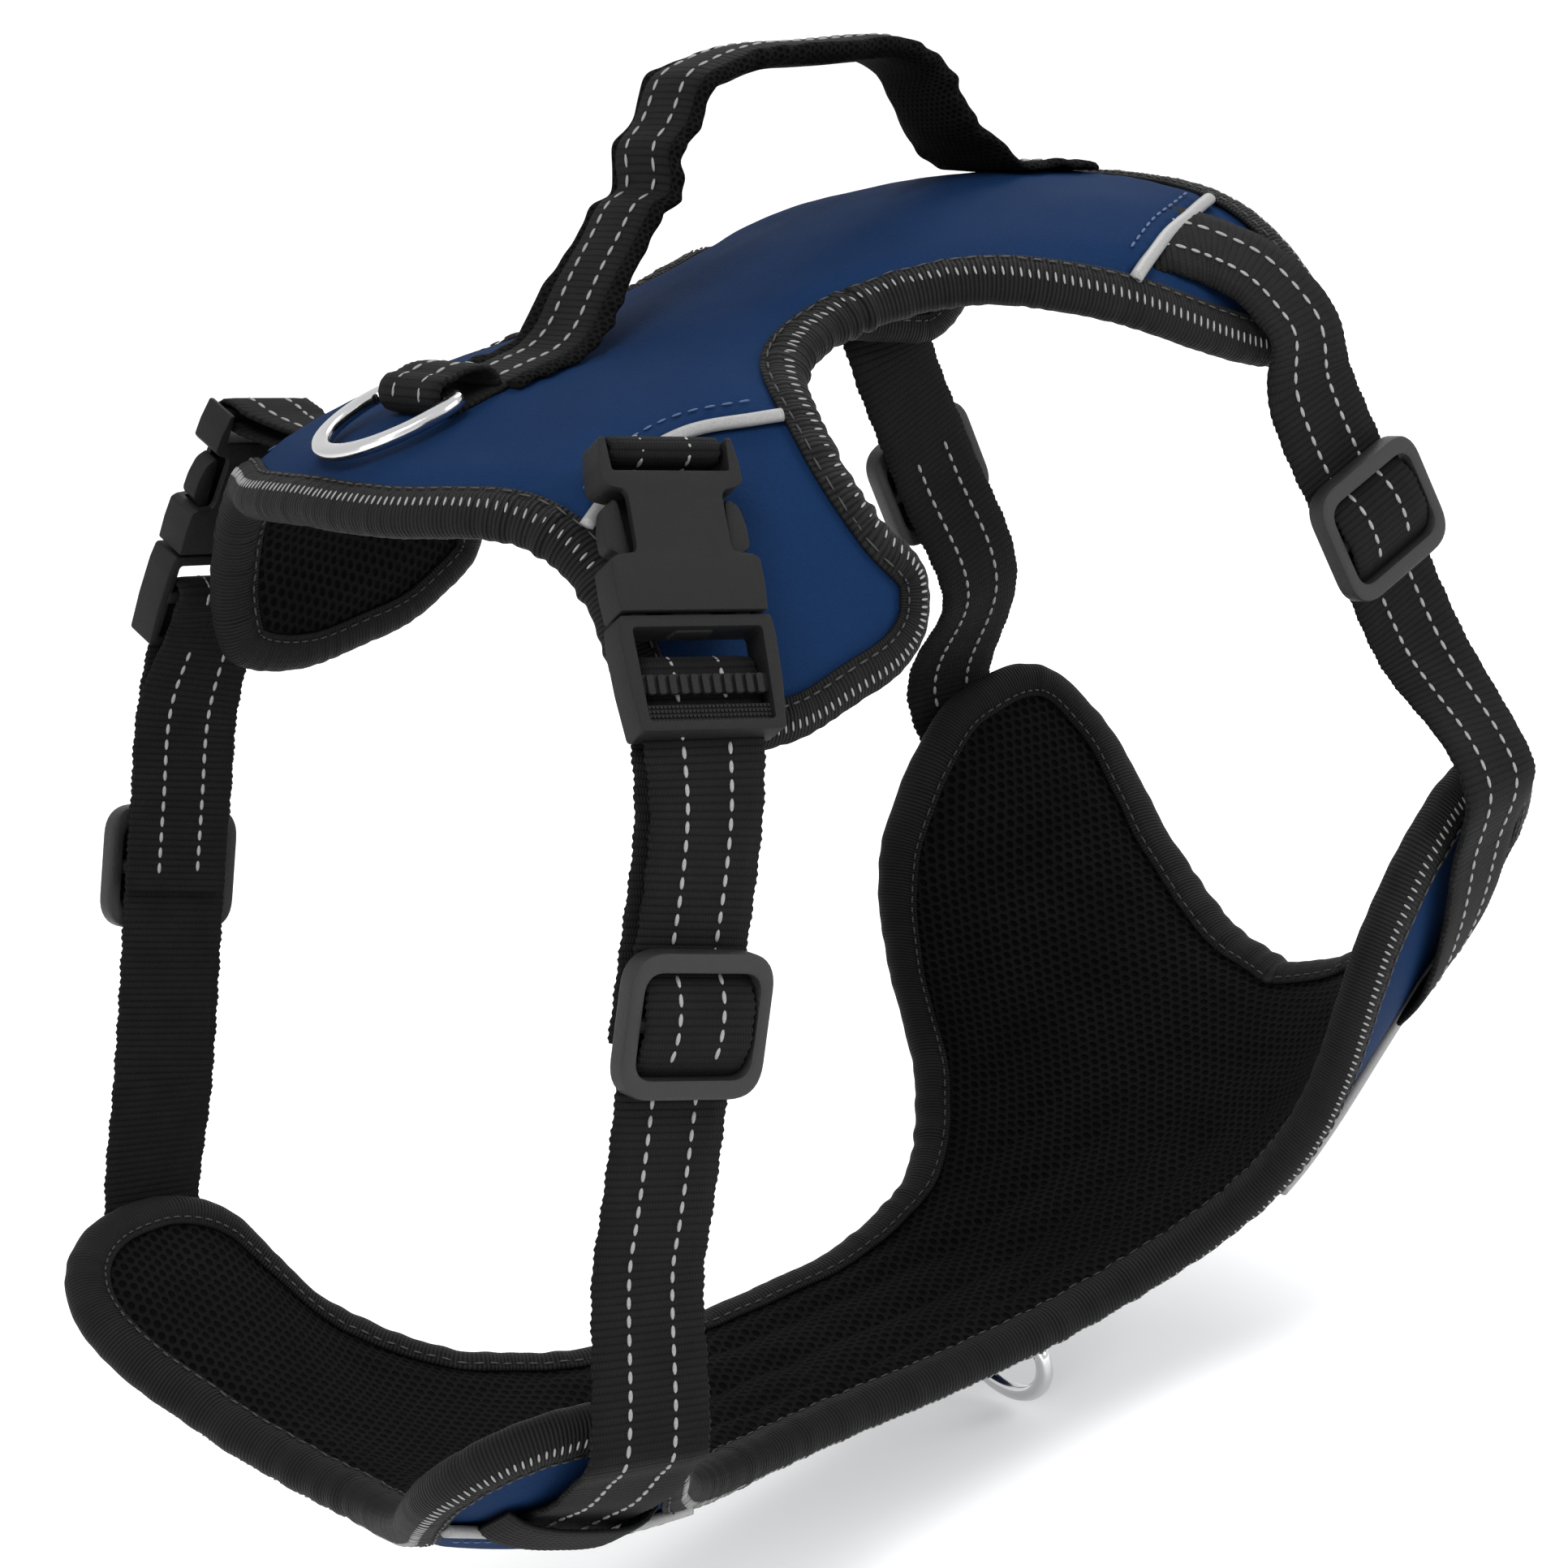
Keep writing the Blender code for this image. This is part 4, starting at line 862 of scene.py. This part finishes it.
def handle():
    """The grab handle: webbing on a mesh wrap whose edges roll up beside it."""
    foot = [(-0.0655, 0.0026), (-0.0600, 0.0031)]
    rows = resample([(x, z, 0.0) for x, z in foot + HANDLE], 0.0006)[:, :2]
    run = unit(np.gradient(rows, axis=0))
    path = [((x, 0, z), (-dz, 0, dx)) for (x, z), (dx, dz) in zip(rows, run)]
    track = Track(path, 0.0006)
    free = smooth_step((track.middle[:, 2] - 0.008) / 0.014)
    kinks = Waves(41, 0.030)
    sway = Waves(43, 0.060)
    x, z = track.middle[:, 0], track.middle[:, 2]
    crease = 0.0014 * np.exp(-((z - 0.0355) / 0.0026) ** 2) - 0.0030 * np.exp(-((z - 0.0300) / 0.0024) ** 2)
    corner = 0.0016 * np.exp(-((x - 0.0010) / 0.0040) ** 2) * (z > 0.030)
    track.shifted(free * (0.0010 * kinks.at(track.run) + crease * (x < 0)) + corner)
    track.cup = 9.0 * free
    track.middle[:, 1] += free * 0.0010 * sway.at(track.run)
    band("handle_strap", track, "harness", "handle_webbing", width=0.0212, seed=3)
    threads("handle_dashes", track, "harness")

    ruffle = [Waves(seed, 0.0060) for seed in (51, 52, 53)]
    bead = np.radians(np.array([165, 130, 95, 60, 25, -10, -45, -80]))
    right = [(0.0104 + 0.0016 * math.cos(a), -0.0015 + 0.0016 * math.sin(a)) for a in bead]
    under = [(0.0085, -0.0042), (0.0045, -0.0047), (0.0, -0.0048)]
    top = [(0.0, -0.0009), (0.0080, -0.0012)]
    half_section = top + right + under
    section = half_section + [(-a, u) for a, u in reversed(half_section[1:-1])]
    offsets = np.array(section)
    count = len(track.run)
    wide = np.tile(offsets[:, 0], (count, 1))
    high = np.tile(offsets[:, 1], (count, 1))
    low_part = high < -0.0012
    high = np.where(low_part, -0.0012 + (high + 0.0012) * (0.35 + 0.65 * free[:, None]), high)
    high = high + 0.0010 * (1 - free[:, None])
    for mirrored, wave in ((1, ruffle[0]), (-1, ruffle[1])):
        edge = np.clip((wide * mirrored - 0.0085) / 0.003, 0, 1)
        wide = wide + edge * mirrored * 0.0034 * (1 - free[:, None])
        amount = wave.at(track.run)[:, None]
        wide = wide + edge * mirrored * 0.00075 * amount
        high = high + edge * 0.00045 * ruffle[2].at(track.run + 0.3 * mirrored)[:, None]
    rings = (track.middle[:, None] + track.across[:, None] * wide[:, :, None]
             + track.up[:, None] * high[:, :, None])[4:-4]
    gaps = np.linalg.norm(np.roll(offsets, -1, axis=0) - offsets, axis=1)
    around = np.concatenate([[0], np.cumsum(gaps)])
    along = np.append(track.run[4:-4], track.run[-4]) * 1000
    piece = loft("handle_wrap", rings, WRAP_MESH, along, around * 1000)
    settle(piece, "harness", "air_mesh", "handle_padding")


def cross_stitches(name, middles, ups, aside, along, body):
    """A box of black thread with a cross, sewn through layers of webbing."""
    starts, ends, normals = [], [], []
    for middle, up, a, b in zip(middles, ups, aside, along):
        corners = [middle - a - b, middle + a - b, middle + a + b, middle - a + b]
        lines = [(corners[k], corners[(k + 1) % 4]) for k in range(4)]
        lines += [(corners[0], corners[2]), (corners[1], corners[3])]
        for first, last in lines:
            count = max(2, round((last - first).length / 0.0026))
            for k in range(count):
                starts.append(first.lerp(last, (k + 0.12) / count))
                ends.append(first.lerp(last, (k + 0.88) / count))
                normals.append(up)
    starts, ends, normals = np.array(starts), np.array(ends), np.array(normals)
    obj = stitches(name, starts, ends, normals, 0.0006, THREAD_HEIGHT, BLACK_THREAD)
    settle(obj, body, "webbing")


def smoothed(points, times=3):
    """A closed line with its corners rounded."""
    for _ in range(times):
        following = np.roll(points, -1, axis=0)
        points = np.stack([points * 0.75 + following * 0.25, points * 0.25 + following * 0.75], axis=1)
        points = points.reshape(-1, points.shape[-1])
    return points


def ring(name, node, body, at, forward, reach):
    """A polished D ring of flattened wire."""
    turn = np.radians(np.linspace(0, 180, 25))
    bow = np.column_stack([RING_HALF_WIDTH * np.cos(turn), reach * (0.2 + 0.8 * np.sin(turn))])
    points = smoothed(np.vstack([(0.0141, 0.0), bow, (-0.0141, 0.0)]), 2)
    run = unit(np.roll(points, -1, axis=0) - np.roll(points, 1, axis=0))
    side = np.column_stack([-run[:, 1], run[:, 0]])
    turn = np.radians(np.arange(0, 360, 20))
    flat = np.abs(np.cos(turn)) ** 0.62 * np.sign(np.cos(turn)) * 0.00195
    thick = np.abs(np.sin(turn)) ** 0.72 * np.sign(np.sin(turn)) * 0.00150
    across, ahead = np.array((0, 1, 0)), np.array(forward)
    up = np.cross(ahead, across)
    rings = (np.array(at) + across * (points[:, None, :1] + side[:, None, :1] * flat[None, :, None])
             + ahead * (points[:, None, 1:] + side[:, None, 1:] * flat[None, :, None])
             + up * thick[None, :, None])
    settle(loft(name, rings, CHROME, closed=True), body, "ring_metal", node)


def turn_round(radius, half_turn, steps=8):
    """The part of a webbing loop's profile that goes round a bar at the origin, to half_turn degrees."""
    turn = [math.radians(half_turn * (1 - 2 * k / steps)) for k in range(steps + 1)]
    return [(radius * math.cos(a), radius * math.sin(a)) for a in turn]


def rings():
    """The two D rings and the webbing loops that hold them."""
    back, down = Vector((-1, 0, 0)), Vector((0, 0, -1))
    tilt = Matrix.Rotation(math.radians(-10), 3, "Y")
    ring("leash_d_ring", "leash_ring", "leash_ring", LEASH_RING_AT, tilt @ back, 0.024)
    ring("chest_d_ring", "chest_ring", "chest_ring", CHEST_RING_AT, down, 0.015)
    profile = [(-0.0112, -0.0012), (-0.0106, 0.0014), (-0.0086, 0.0030), (-0.0045, 0.0037),
               *turn_round(0.0034, 110), (-0.0060, -0.0026), (-0.0138, -0.0020)]
    track = profile_track(profile, axes_at(LEASH_RING_AT, back, Vector((0, 0, 1))), 1)
    band("leash_ring_strap", track, "harness", "leash_loop", width=0.0225, seed=7)
    threads("leash_ring_dashes", track, "harness", start=0.003, end=0.022)
    profile = [(-0.0041, 0.016), (-0.0040, 0.009), *turn_round(0.0030, 115), (-0.0040, -0.009),
               (-0.0041, -0.016)]
    axes = axes_at(CHEST_RING_AT, down, Vector((1, 0, 0)))
    track = profile_track(profile, axes, 1)
    band("chest_ring_strap", track, "harness", "chest_ring_loop", width=0.022, seed=8)
    middles = [axes @ Vector((-0.0031, 0, n)) for n in (0.0115, -0.0115)]
    sizes = [Vector((0, 0.0085, 0))] * 2
    cross_stitches("chest_ring_cross", middles, [down] * 2, sizes, [Vector((0.0030, 0, 0))] * 2, "harness")


# ---- Moulded parts ----

def rounded(points, radius, steps=5):
    """A closed outline with round corners, running clockwise."""
    points = [Vector(p) for p in points]
    area = sum(a.x * b.y - b.x * a.y for a, b in zip(points, points[1:] + points[:1]))
    if area > 0:
        points.reverse()
    made = []
    for k, corner in enumerate(points):
        back, ahead = points[k - 1] - corner, points[(k + 1) % len(points)] - corner
        cut = min(radius, back.length * 0.45, ahead.length * 0.45)
        first, last = corner + back.normalized() * cut, corner + ahead.normalized() * cut
        for i in range(steps + 1):
            t = i / steps
            made.append(first.lerp(corner, t).lerp(corner.lerp(last, t), t))
    return np.array(made)


def oblong(reach, half, radius, middle=0.0, steps=5):
    """An oblong with round corners, from reach[0] to reach[1] along and half to each side of its middle."""
    (first, last), (low, high) = reach, (middle - half, middle + half)
    return rounded([(first, high), (first, low), (last, low), (last, high)], radius, steps)


def moulding(bm, outline, windows, low, high, soft):
    """Adds a plate with windows and softened edges to a bmesh."""
    rims = []
    for loop, sign in [(outline, 1)] + [(window, -1) for window in windows]:
        levels = [(low, soft), (low + soft * 0.29, soft * 0.29), (low + soft, 0.0),
                  (high - soft, 0.0), (high - soft * 0.29, soft * 0.29), (high, soft)]
        layers = []
        for depth, back in levels:
            flat = moved_in(loop, sign * back)
            layers.append([bm.verts.new((x, y, depth)) for x, y in flat])
        for a, b in zip(layers, layers[1:]):
            for k in range(len(a)):
                n = (k + 1) % len(a)
                bm.faces.new((a[k], b[k], b[n], a[n]))
        rims.append((layers[0], layers[-1]))
    for level in (0, 1):
        edges = []
        for rim in rims:
            loop = rim[level]
            edges += [bm.edges.get((loop[k], loop[(k + 1) % len(loop)])) for k in range(len(loop))]
        bmesh.ops.triangle_fill(bm, edges=edges, use_beauty=True, normal=(0, 0, 1))


def cut_box(obj, box):
    """Cuts a box, given as its reach along each axis, out of a piece."""
    tool = bmesh.new()
    bmesh.ops.create_cube(tool, size=1.0)
    for vert in tool.verts:
        vert.co = Vector([sum(r) / 2 + (r[1] - r[0]) * c for r, c in zip(box, vert.co)])
    data = bpy.data.meshes.new("cutter")
    tool.to_mesh(data)
    tool.free()
    cutter = link("cutter", data)
    boolean = obj.modifiers.new("cut", "BOOLEAN")
    boolean.operation, boolean.solver, boolean.object = "DIFFERENCE", "EXACT", cutter
    boolean.use_self = True
    graph = bpy.context.evaluated_depsgraph_get()
    solid = bpy.data.meshes.new_from_object(obj.evaluated_get(graph))
    obj.modifiers.clear()
    obj.data = solid
    bpy.data.objects.remove(cutter)


def moulded(name, bm, axes, side, look, hollow=None):
    """Turns a bmesh in a strap's axes into a plastic piece at its place, less a box that is hollow."""
    bmesh.ops.recalc_face_normals(bm, faces=bm.faces)
    mesh = bpy.data.meshes.new(name)
    bm.to_mesh(mesh)
    bm.free()
    obj = link(name, mesh)
    if hollow:
        cut_box(obj, hollow)
    turn = Matrix.Scale(-1, 4, Vector((0, 1, 0))) if side < 0 else Matrix.Identity(4)
    obj.data.transform(turn @ axes)
    bm = bmesh.new()
    bm.from_mesh(obj.data)
    bmesh.ops.recalc_face_normals(bm, faces=bm.faces)
    bm.to_mesh(obj.data)
    bm.free()
    obj.data.shade_smooth()
    obj.data.set_sharp_from_angle(angle=math.radians(38))
    obj.data.materials.clear()
    obj.data.materials.append(look)
    return obj


def buckle_axes():
    run = BUCKLE_END - BUCKLE_TOP
    mouth = BUCKLE_TOP + run.normalized() * SOCKET_LENGTH
    return axes_at(mouth, run, Vector((0, 0.88, 0.48)))


def buckle(name, side):
    """The side-release buckle's socket, plug and two prongs."""
    axes, half = buckle_axes(), BUCKLE_HALF
    bm = bmesh.new()
    right = [(0.0003, 0.0148), (-0.0050, 0.0152), (-0.0098, 0.0151), (-0.0107, 0.0138), (-0.0112, 0.0100),
             (-0.0124, 0.0096), (-0.0222, 0.0096), (-0.0233, 0.0102), (-0.0240, 0.0130), (-0.0250, 0.0143),
             (-0.0290, 0.0142), (-0.0338, 0.0134), (-0.0338, 0.0122), (-0.0272, 0.0118)]
    outline = rounded(right + [(u, -v) for u, v in reversed(right)], 0.0005)
    moulding(bm, outline, [], -half, half, 0.0004)
    moulding(bm, oblong((-0.0330, -0.0310), 0.0128, 0.0005), [], -0.0014, 0.0014, 0.0006)
    wide, tall = CHANNEL_HALF_WIDTH, CHANNEL_HALF_HEIGHT
    channel = ((-0.0236, 0.002), (-wide, wide), (-tall, tall))
    socket = moulded(f"socket_{name}", bm, axes, side, PLASTIC, channel)
    settle(socket, "harness", "black_plastic", f"buckle_socket_{name}")

    bm = bmesh.new()
    right = [(0.0010, 0.0153), (0.0050, 0.0157), (0.0140, 0.0154), (0.0232, 0.0145)]
    outline = rounded(right + [(u, -v) for u, v in reversed(right)], 0.0009)
    window = [(0.0034, 0.0130), (0.0034, -0.0130), (0.0212, -0.0125), (0.0212, 0.0125)]
    moulding(bm, outline, [rounded(window, 0.0008)], -half + 0.0004, half - 0.0003, 0.0004)
    tongue = CHANNEL_HALF_HEIGHT - 0.0005
    for us, vs, ns, soft in (((-0.0165, 0.004), 0.0040, (-tongue, tongue), 0.0006),
                             ((0.0119, 0.0157), 0.0136, (0.0012, 0.0026), 0.0005),
                             ((0.0098, 0.0128), 0.0138, (-0.0040, -0.0022), 0.0006),
                             ((0.0178, 0.0216), 0.0132, (0.0010, 0.0026), 0.0004)):
        moulding(bm, oblong(us, vs, 0.0006), [], *ns, soft)
    for k in range(-5, 6):
        tooth = oblong((0.0122, 0.0161), 0.00075, 0.0006, k * TOOTH_PITCH)
        moulding(bm, tooth, [], 0.0022, 0.0034, 0.0003)
    for row in range(4):
        u = 0.0181 + 0.0009 * row
        for k in range(-15, 16):
            bump = oblong((u, u + 0.0006), 0.00028, 0.0001, k * BUMP_PITCH, 1)
            moulding(bm, bump, [], 0.0022, 0.0030, 0.0001)
    plug = moulded(f"plug_{name}", bm, axes, side, PLASTIC)
    settle(plug, f"girth_plug_{name}", "black_plastic", f"buckle_plug_{name}")

    for which, sign in (("rear", 1), ("front", -1)):
        bm = bmesh.new()
        inside = [(0.0020, 0.0088), (-0.0110, 0.0099), (-0.0216, 0.0108)]
        outside = [(-0.0224, 0.0116), (-0.0208, 0.0137), (-0.0168, 0.0146), (-0.0126, 0.0146),
                   (-0.0115, 0.0122), (0.0020, 0.0122)]
        shape = rounded([(u, v * sign) for u, v in inside + outside], 0.0012)
        moulding(bm, shape, [], -tongue, tongue, 0.0005)
        prong = moulded(f"prong_{which}_{name}", bm, axes, side, PLASTIC)
        settle(prong, f"prong_{which}_{name}", "black_plastic", f"buckle_prong_{which}_{name}")


def slider(label, name, side, run, at):
    """A slider's frame, and the bulge of webbing that fills its window."""
    down = (run[1] - run[0]).normalized()
    centre = run[0] + down * (at - run[0]).dot(down)
    axes = axes_at(centre, down, LEVEL)
    bm = bmesh.new()
    outline = oblong((-0.0137, 0.0137), 0.0157, 0.0070, steps=9)
    window = oblong((-0.0098, 0.0098), 0.0127, 0.0040, steps=7)
    moulding(bm, outline, [window], 0.0013, 0.0060, 0.0007)
    moulding(bm, oblong((-0.0015, 0.0015), 0.0140, 0.0006), [], 0.0024, 0.0046, 0.0007)
    body = f"{label}_slider_{name}"
    piece = moulded(f"{label}_slider_frame_{name}", bm, axes, side, SLIDER_PLASTIC)
    settle(piece, body, "black_plastic", body)
    fall = [(0.0037, 0.0056), (0.0070, 0.0043), (0.0092, 0.0026), (0.0108, 0.0016)]
    profile = [(-u, n) for u, n in reversed(fall)] + [(0.0, 0.0060)] + fall
    track = profile_track(profile, axes, side)
    thick = THIN_WEB_THICK
    node = f"{label}_slider_wrap_{name}"
    band(f"{label}_slider_webbing_{name}", track, body, node, width=0.0240, thick=thick, seed=11)
    threads(f"{label}_slider_dashes_{name}", track, body, thick=thick, start=0.0020, end=0.0210)


# ---- Straps ----

def lean(obj, axes, side):
    """Slants the ends of the buckle's loop, so that both edges reach the panel, which lies askew to it."""
    back = axes.inverted()
    for vert in obj.data.vertices:
        spot = back @ Vector((vert.co.x, vert.co.y * side, vert.co.z))
        low = min(max((-0.004 - spot.z) / 0.012, 0.0), 1.0)
        spot.z -= low * spot.y * 0.25
        spot.y *= 1 - 0.45 * low
        moved = axes @ spot
        vert.co = (moved.x, moved.y * side, moved.z)
    return obj


def girth(name, side):
    """Webbing from the buckle's plug to the chest plate, and the loop that holds the socket."""
    axes = buckle_axes()
    outward = axes.col[2].to_3d()

    def local(u, n):
        return axes @ Vector((u, 0, n)), outward

    down = (GIRTH_RUN[1] - GIRTH_RUN[0]).normalized()
    low_end = GIRTH_RUN[1]
    back = -axes.col[0].to_3d()
    path = [(local(0.0138, -0.0056)[0], -outward), (local(0.0100, -0.0056)[0], -outward),
            (local(0.0084, -0.0047)[0], back - outward), (local(0.0078, -0.0030)[0], back),
            (local(0.0084, -0.0012)[0], back + outward), local(0.0100, -0.0003), local(0.0138, -0.0003),
            local(0.0198, -0.0006), (GIRTH_RUN[0], LEVEL), ((GIRTH_RUN[0] + low_end) / 2, LEVEL),
            (low_end, LEVEL), (low_end + down * 0.011, LEVEL)]
    over, lying = 0.0095, 0.0076
    path += [on(bowl, 0.003, 0.100, over + 0.0020), on(bowl, 0.006, 0.090, over + 0.0010),
             on(bowl, 0.009, 0.079, over), on(bowl, 0.011, 0.068, lying), on(bowl, 0.011, 0.056, lying)]
    track = Track(path, side=side)
    free = smooth_step((track.run - 0.05) / 0.02)
    soft = Waves(61, 0.040)
    track.shifted(free * 0.00035 * soft.at(track.run, side))
    plug = f"girth_plug_{name}"
    pieces = [(strap(f"girth_webbing_{name}", track, WEBBING, seed=21), "webbing"),
              (dashes(f"girth_dashes_{name}", track), "reflective_piping")]
    for obj, slot in pieces:
        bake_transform(obj)
    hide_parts(f"girth_strap_{name}", f"girth_lower_{name}")

    behind = LEVEL * 0.0024
    edge = Vector((-0.0016, 0, 0))
    path = [local(0.0116, -0.0056), local(0.0198, -0.0056), (GIRTH_RUN[0] - behind * 1.2 + edge, LEVEL)]
    path += [(GIRTH_RUN[0] + down * reach - behind + edge, LEVEL) for reach in (0.020, 0.040)]
    track = Track(path, side=side)
    band(f"girth_inner_webbing_{name}", track, plug, f"girth_return_{name}", seed=22)
    threads(f"girth_inner_dashes_{name}", track, plug, face=-1, start=0.012)

    profile = [(-0.0378, -0.0192), (-0.0362, -0.0130), (-0.0350, -0.0070), (-0.0347, -0.0010),
               (-0.0340, 0.0020), (-0.0321, 0.0033), (-0.0305, 0.0022), (-0.0300, -0.0012),
               (-0.0306, -0.0070), (-0.0322, -0.0130), (-0.0338, -0.0185)]
    track = profile_track(profile, axes, side)
    loop = strap(f"buckle_strap_{name}", track, WEBBING, width=0.0228, thick=0.0013, seed=23)
    settle(lean(loop, axes, side), "harness", "webbing", f"buckle_loop_{name}")
    stitching = dashes(f"buckle_dashes_{name}", track, thick=0.0013)
    settle(lean(stitching, axes, side), "harness", "reflective_piping")

    heights = ((-0.0068, 0.0068), (-0.0030, 0.0092), (0.003, 0.0108), (0.012, 0.0112), (0.0210, 0.0108),
               (0.0265, 0.0092), (0.0302, 0.0068))
    track = Track([on(bowl, along, 0.0635, height) for along, height in heights], side=side)
    piece = strap(f"keeper_band_{name}", track, ELASTIC, width=0.0125, thick=THIN_WEB_THICK, wave=0.00006,
                  seed=24)
    settle(piece, "harness", "elastic", f"keeper_{name}")


def neck(name, side):
    """Webbing from under the back panel's front seam to the chest plate."""
    lying, over = 0.0073, 0.0097
    path = [on(arch, 0.0705, 0.0573, lying - 0.0018), on(arch, 0.0745, 0.0603, lying - 0.0002),
            on(arch, 0.0817, 0.0656, lying + 0.0006), on(arch, 0.0865, 0.0725, over),
            on(arch, 0.0890, 0.0800, over + 0.0011), on(arch, 0.0898, 0.0860, over + 0.0018)]
    path += [(NECK_RUN[0], LEVEL), ((NECK_RUN[0] + NECK_RUN[1]) / 2, LEVEL), (NECK_RUN[1], LEVEL)]
    path += [on(bowl, 0.314, 0.113, 0.0125), on(bowl, 0.304, 0.099, 0.0101), on(bowl, 0.296, 0.084, 0.0095),
             on(bowl, 0.290, 0.070, 0.0092), on(bowl, 0.287, 0.058, 0.0076)]
    track = Track(path, side=side)
    track.cup = 8.5 * (1 - smooth_step((track.run - 0.010) / 0.030))
    band(f"neck_webbing_{name}", track, "harness", f"neck_strap_{name}", seed=31)
    threads(f"neck_dashes_{name}", track, "harness")
    threads(f"neck_inner_dashes_{name}", track, "harness", face=-1, start=0.080, end=0.165)


# ---- Studio ----

def area_light(name, place, aim, size, power):
    data = bpy.data.lights.new(name, "AREA")
    data.size, data.energy = size, power
    light = link(name, data)
    light.location = place
    light.rotation_euler = (Vector(aim) - Vector(place)).to_track_quat("-Z", "Y").to_euler()


def studio():
    """Camera, soft lights, a white surround and a plain pale floor."""
    camera = link("camera", bpy.data.cameras.new("camera"))
    right, up = Vector((0.76675, -0.60042, -0.22713)), Vector((0.37149, 0.12648, 0.91978))
    back = Vector((-0.52353, -0.78962, 0.32003))
    turn = Matrix((right, up, back)).transposed().to_4x4()
    camera.matrix_world = Matrix.Translation((-0.45424, -0.66249, 0.16450)) @ turn
    camera.data.lens = 89.4
    camera.data.clip_start = 0.01
    bpy.context.scene.camera = camera
    bpy.context.scene.view_settings.view_transform = "Standard"

    world = bpy.data.worlds.new("surround")
    bpy.context.scene.world = world
    world.use_nodes = True
    shade = world.node_tree.nodes["Background"].inputs
    shade["Color"].default_value = (1.0, 1.0, 1.0, 1)
    shade["Strength"].default_value = 0.9

    middle = (-0.02, 0.0, -0.11)
    area_light("key", (-0.5, -0.55, 1.0), middle, 0.55, 11)
    area_light("rim", (0.75, 0.35, 0.75), middle, 0.5, 6)
    area_light("fill", (-0.9, -0.6, 0.05), middle, 0.7, 4)
    area_light("inside", (0.55, -0.75, 0.25), (0.0, 0.0, -0.18), 0.45, 4)

    mesh = bpy.data.meshes.new("floor")
    reach, level = 6.0, cad_low.z - 0.002
    corners = [(-reach, -reach, level), (reach, -reach, level), (reach, reach, level), (-reach, reach, level)]
    mesh.from_pydata(corners, [], [(0, 1, 2, 3)])
    floor = link("floor", mesh)
    pale = Look("floor", (0.90, 0.90, 0.895), 0.7, Emission_Color=(1, 1, 1, 1), Emission_Strength=0.22)
    pale.paint(pale.noise(3.0), (0.885, 0.885, 0.88), (0.905, 0.905, 0.90))
    mesh.materials.append(pale.material)


def build():
    pad("back", BACK_EDGE, {"wing": BACK_WING_SEAM, "neck": BACK_NECK_SEAM}, arch, 100)
    pad("chest", CHEST_EDGE, {"rear": CHEST_REAR_SEAM, "neck": CHEST_NECK_SEAM}, bowl, 200)
    handle()
    rings()
    for name, side in SIDES:
        buckle(name, side)
        girth(name, side)
        neck(name, side)
        slider("girth", name, side, GIRTH_RUN, GIRTH_SLIDER_AT)
        slider("neck", name, side, NECK_RUN, NECK_SLIDER_AT)


build()
studio()
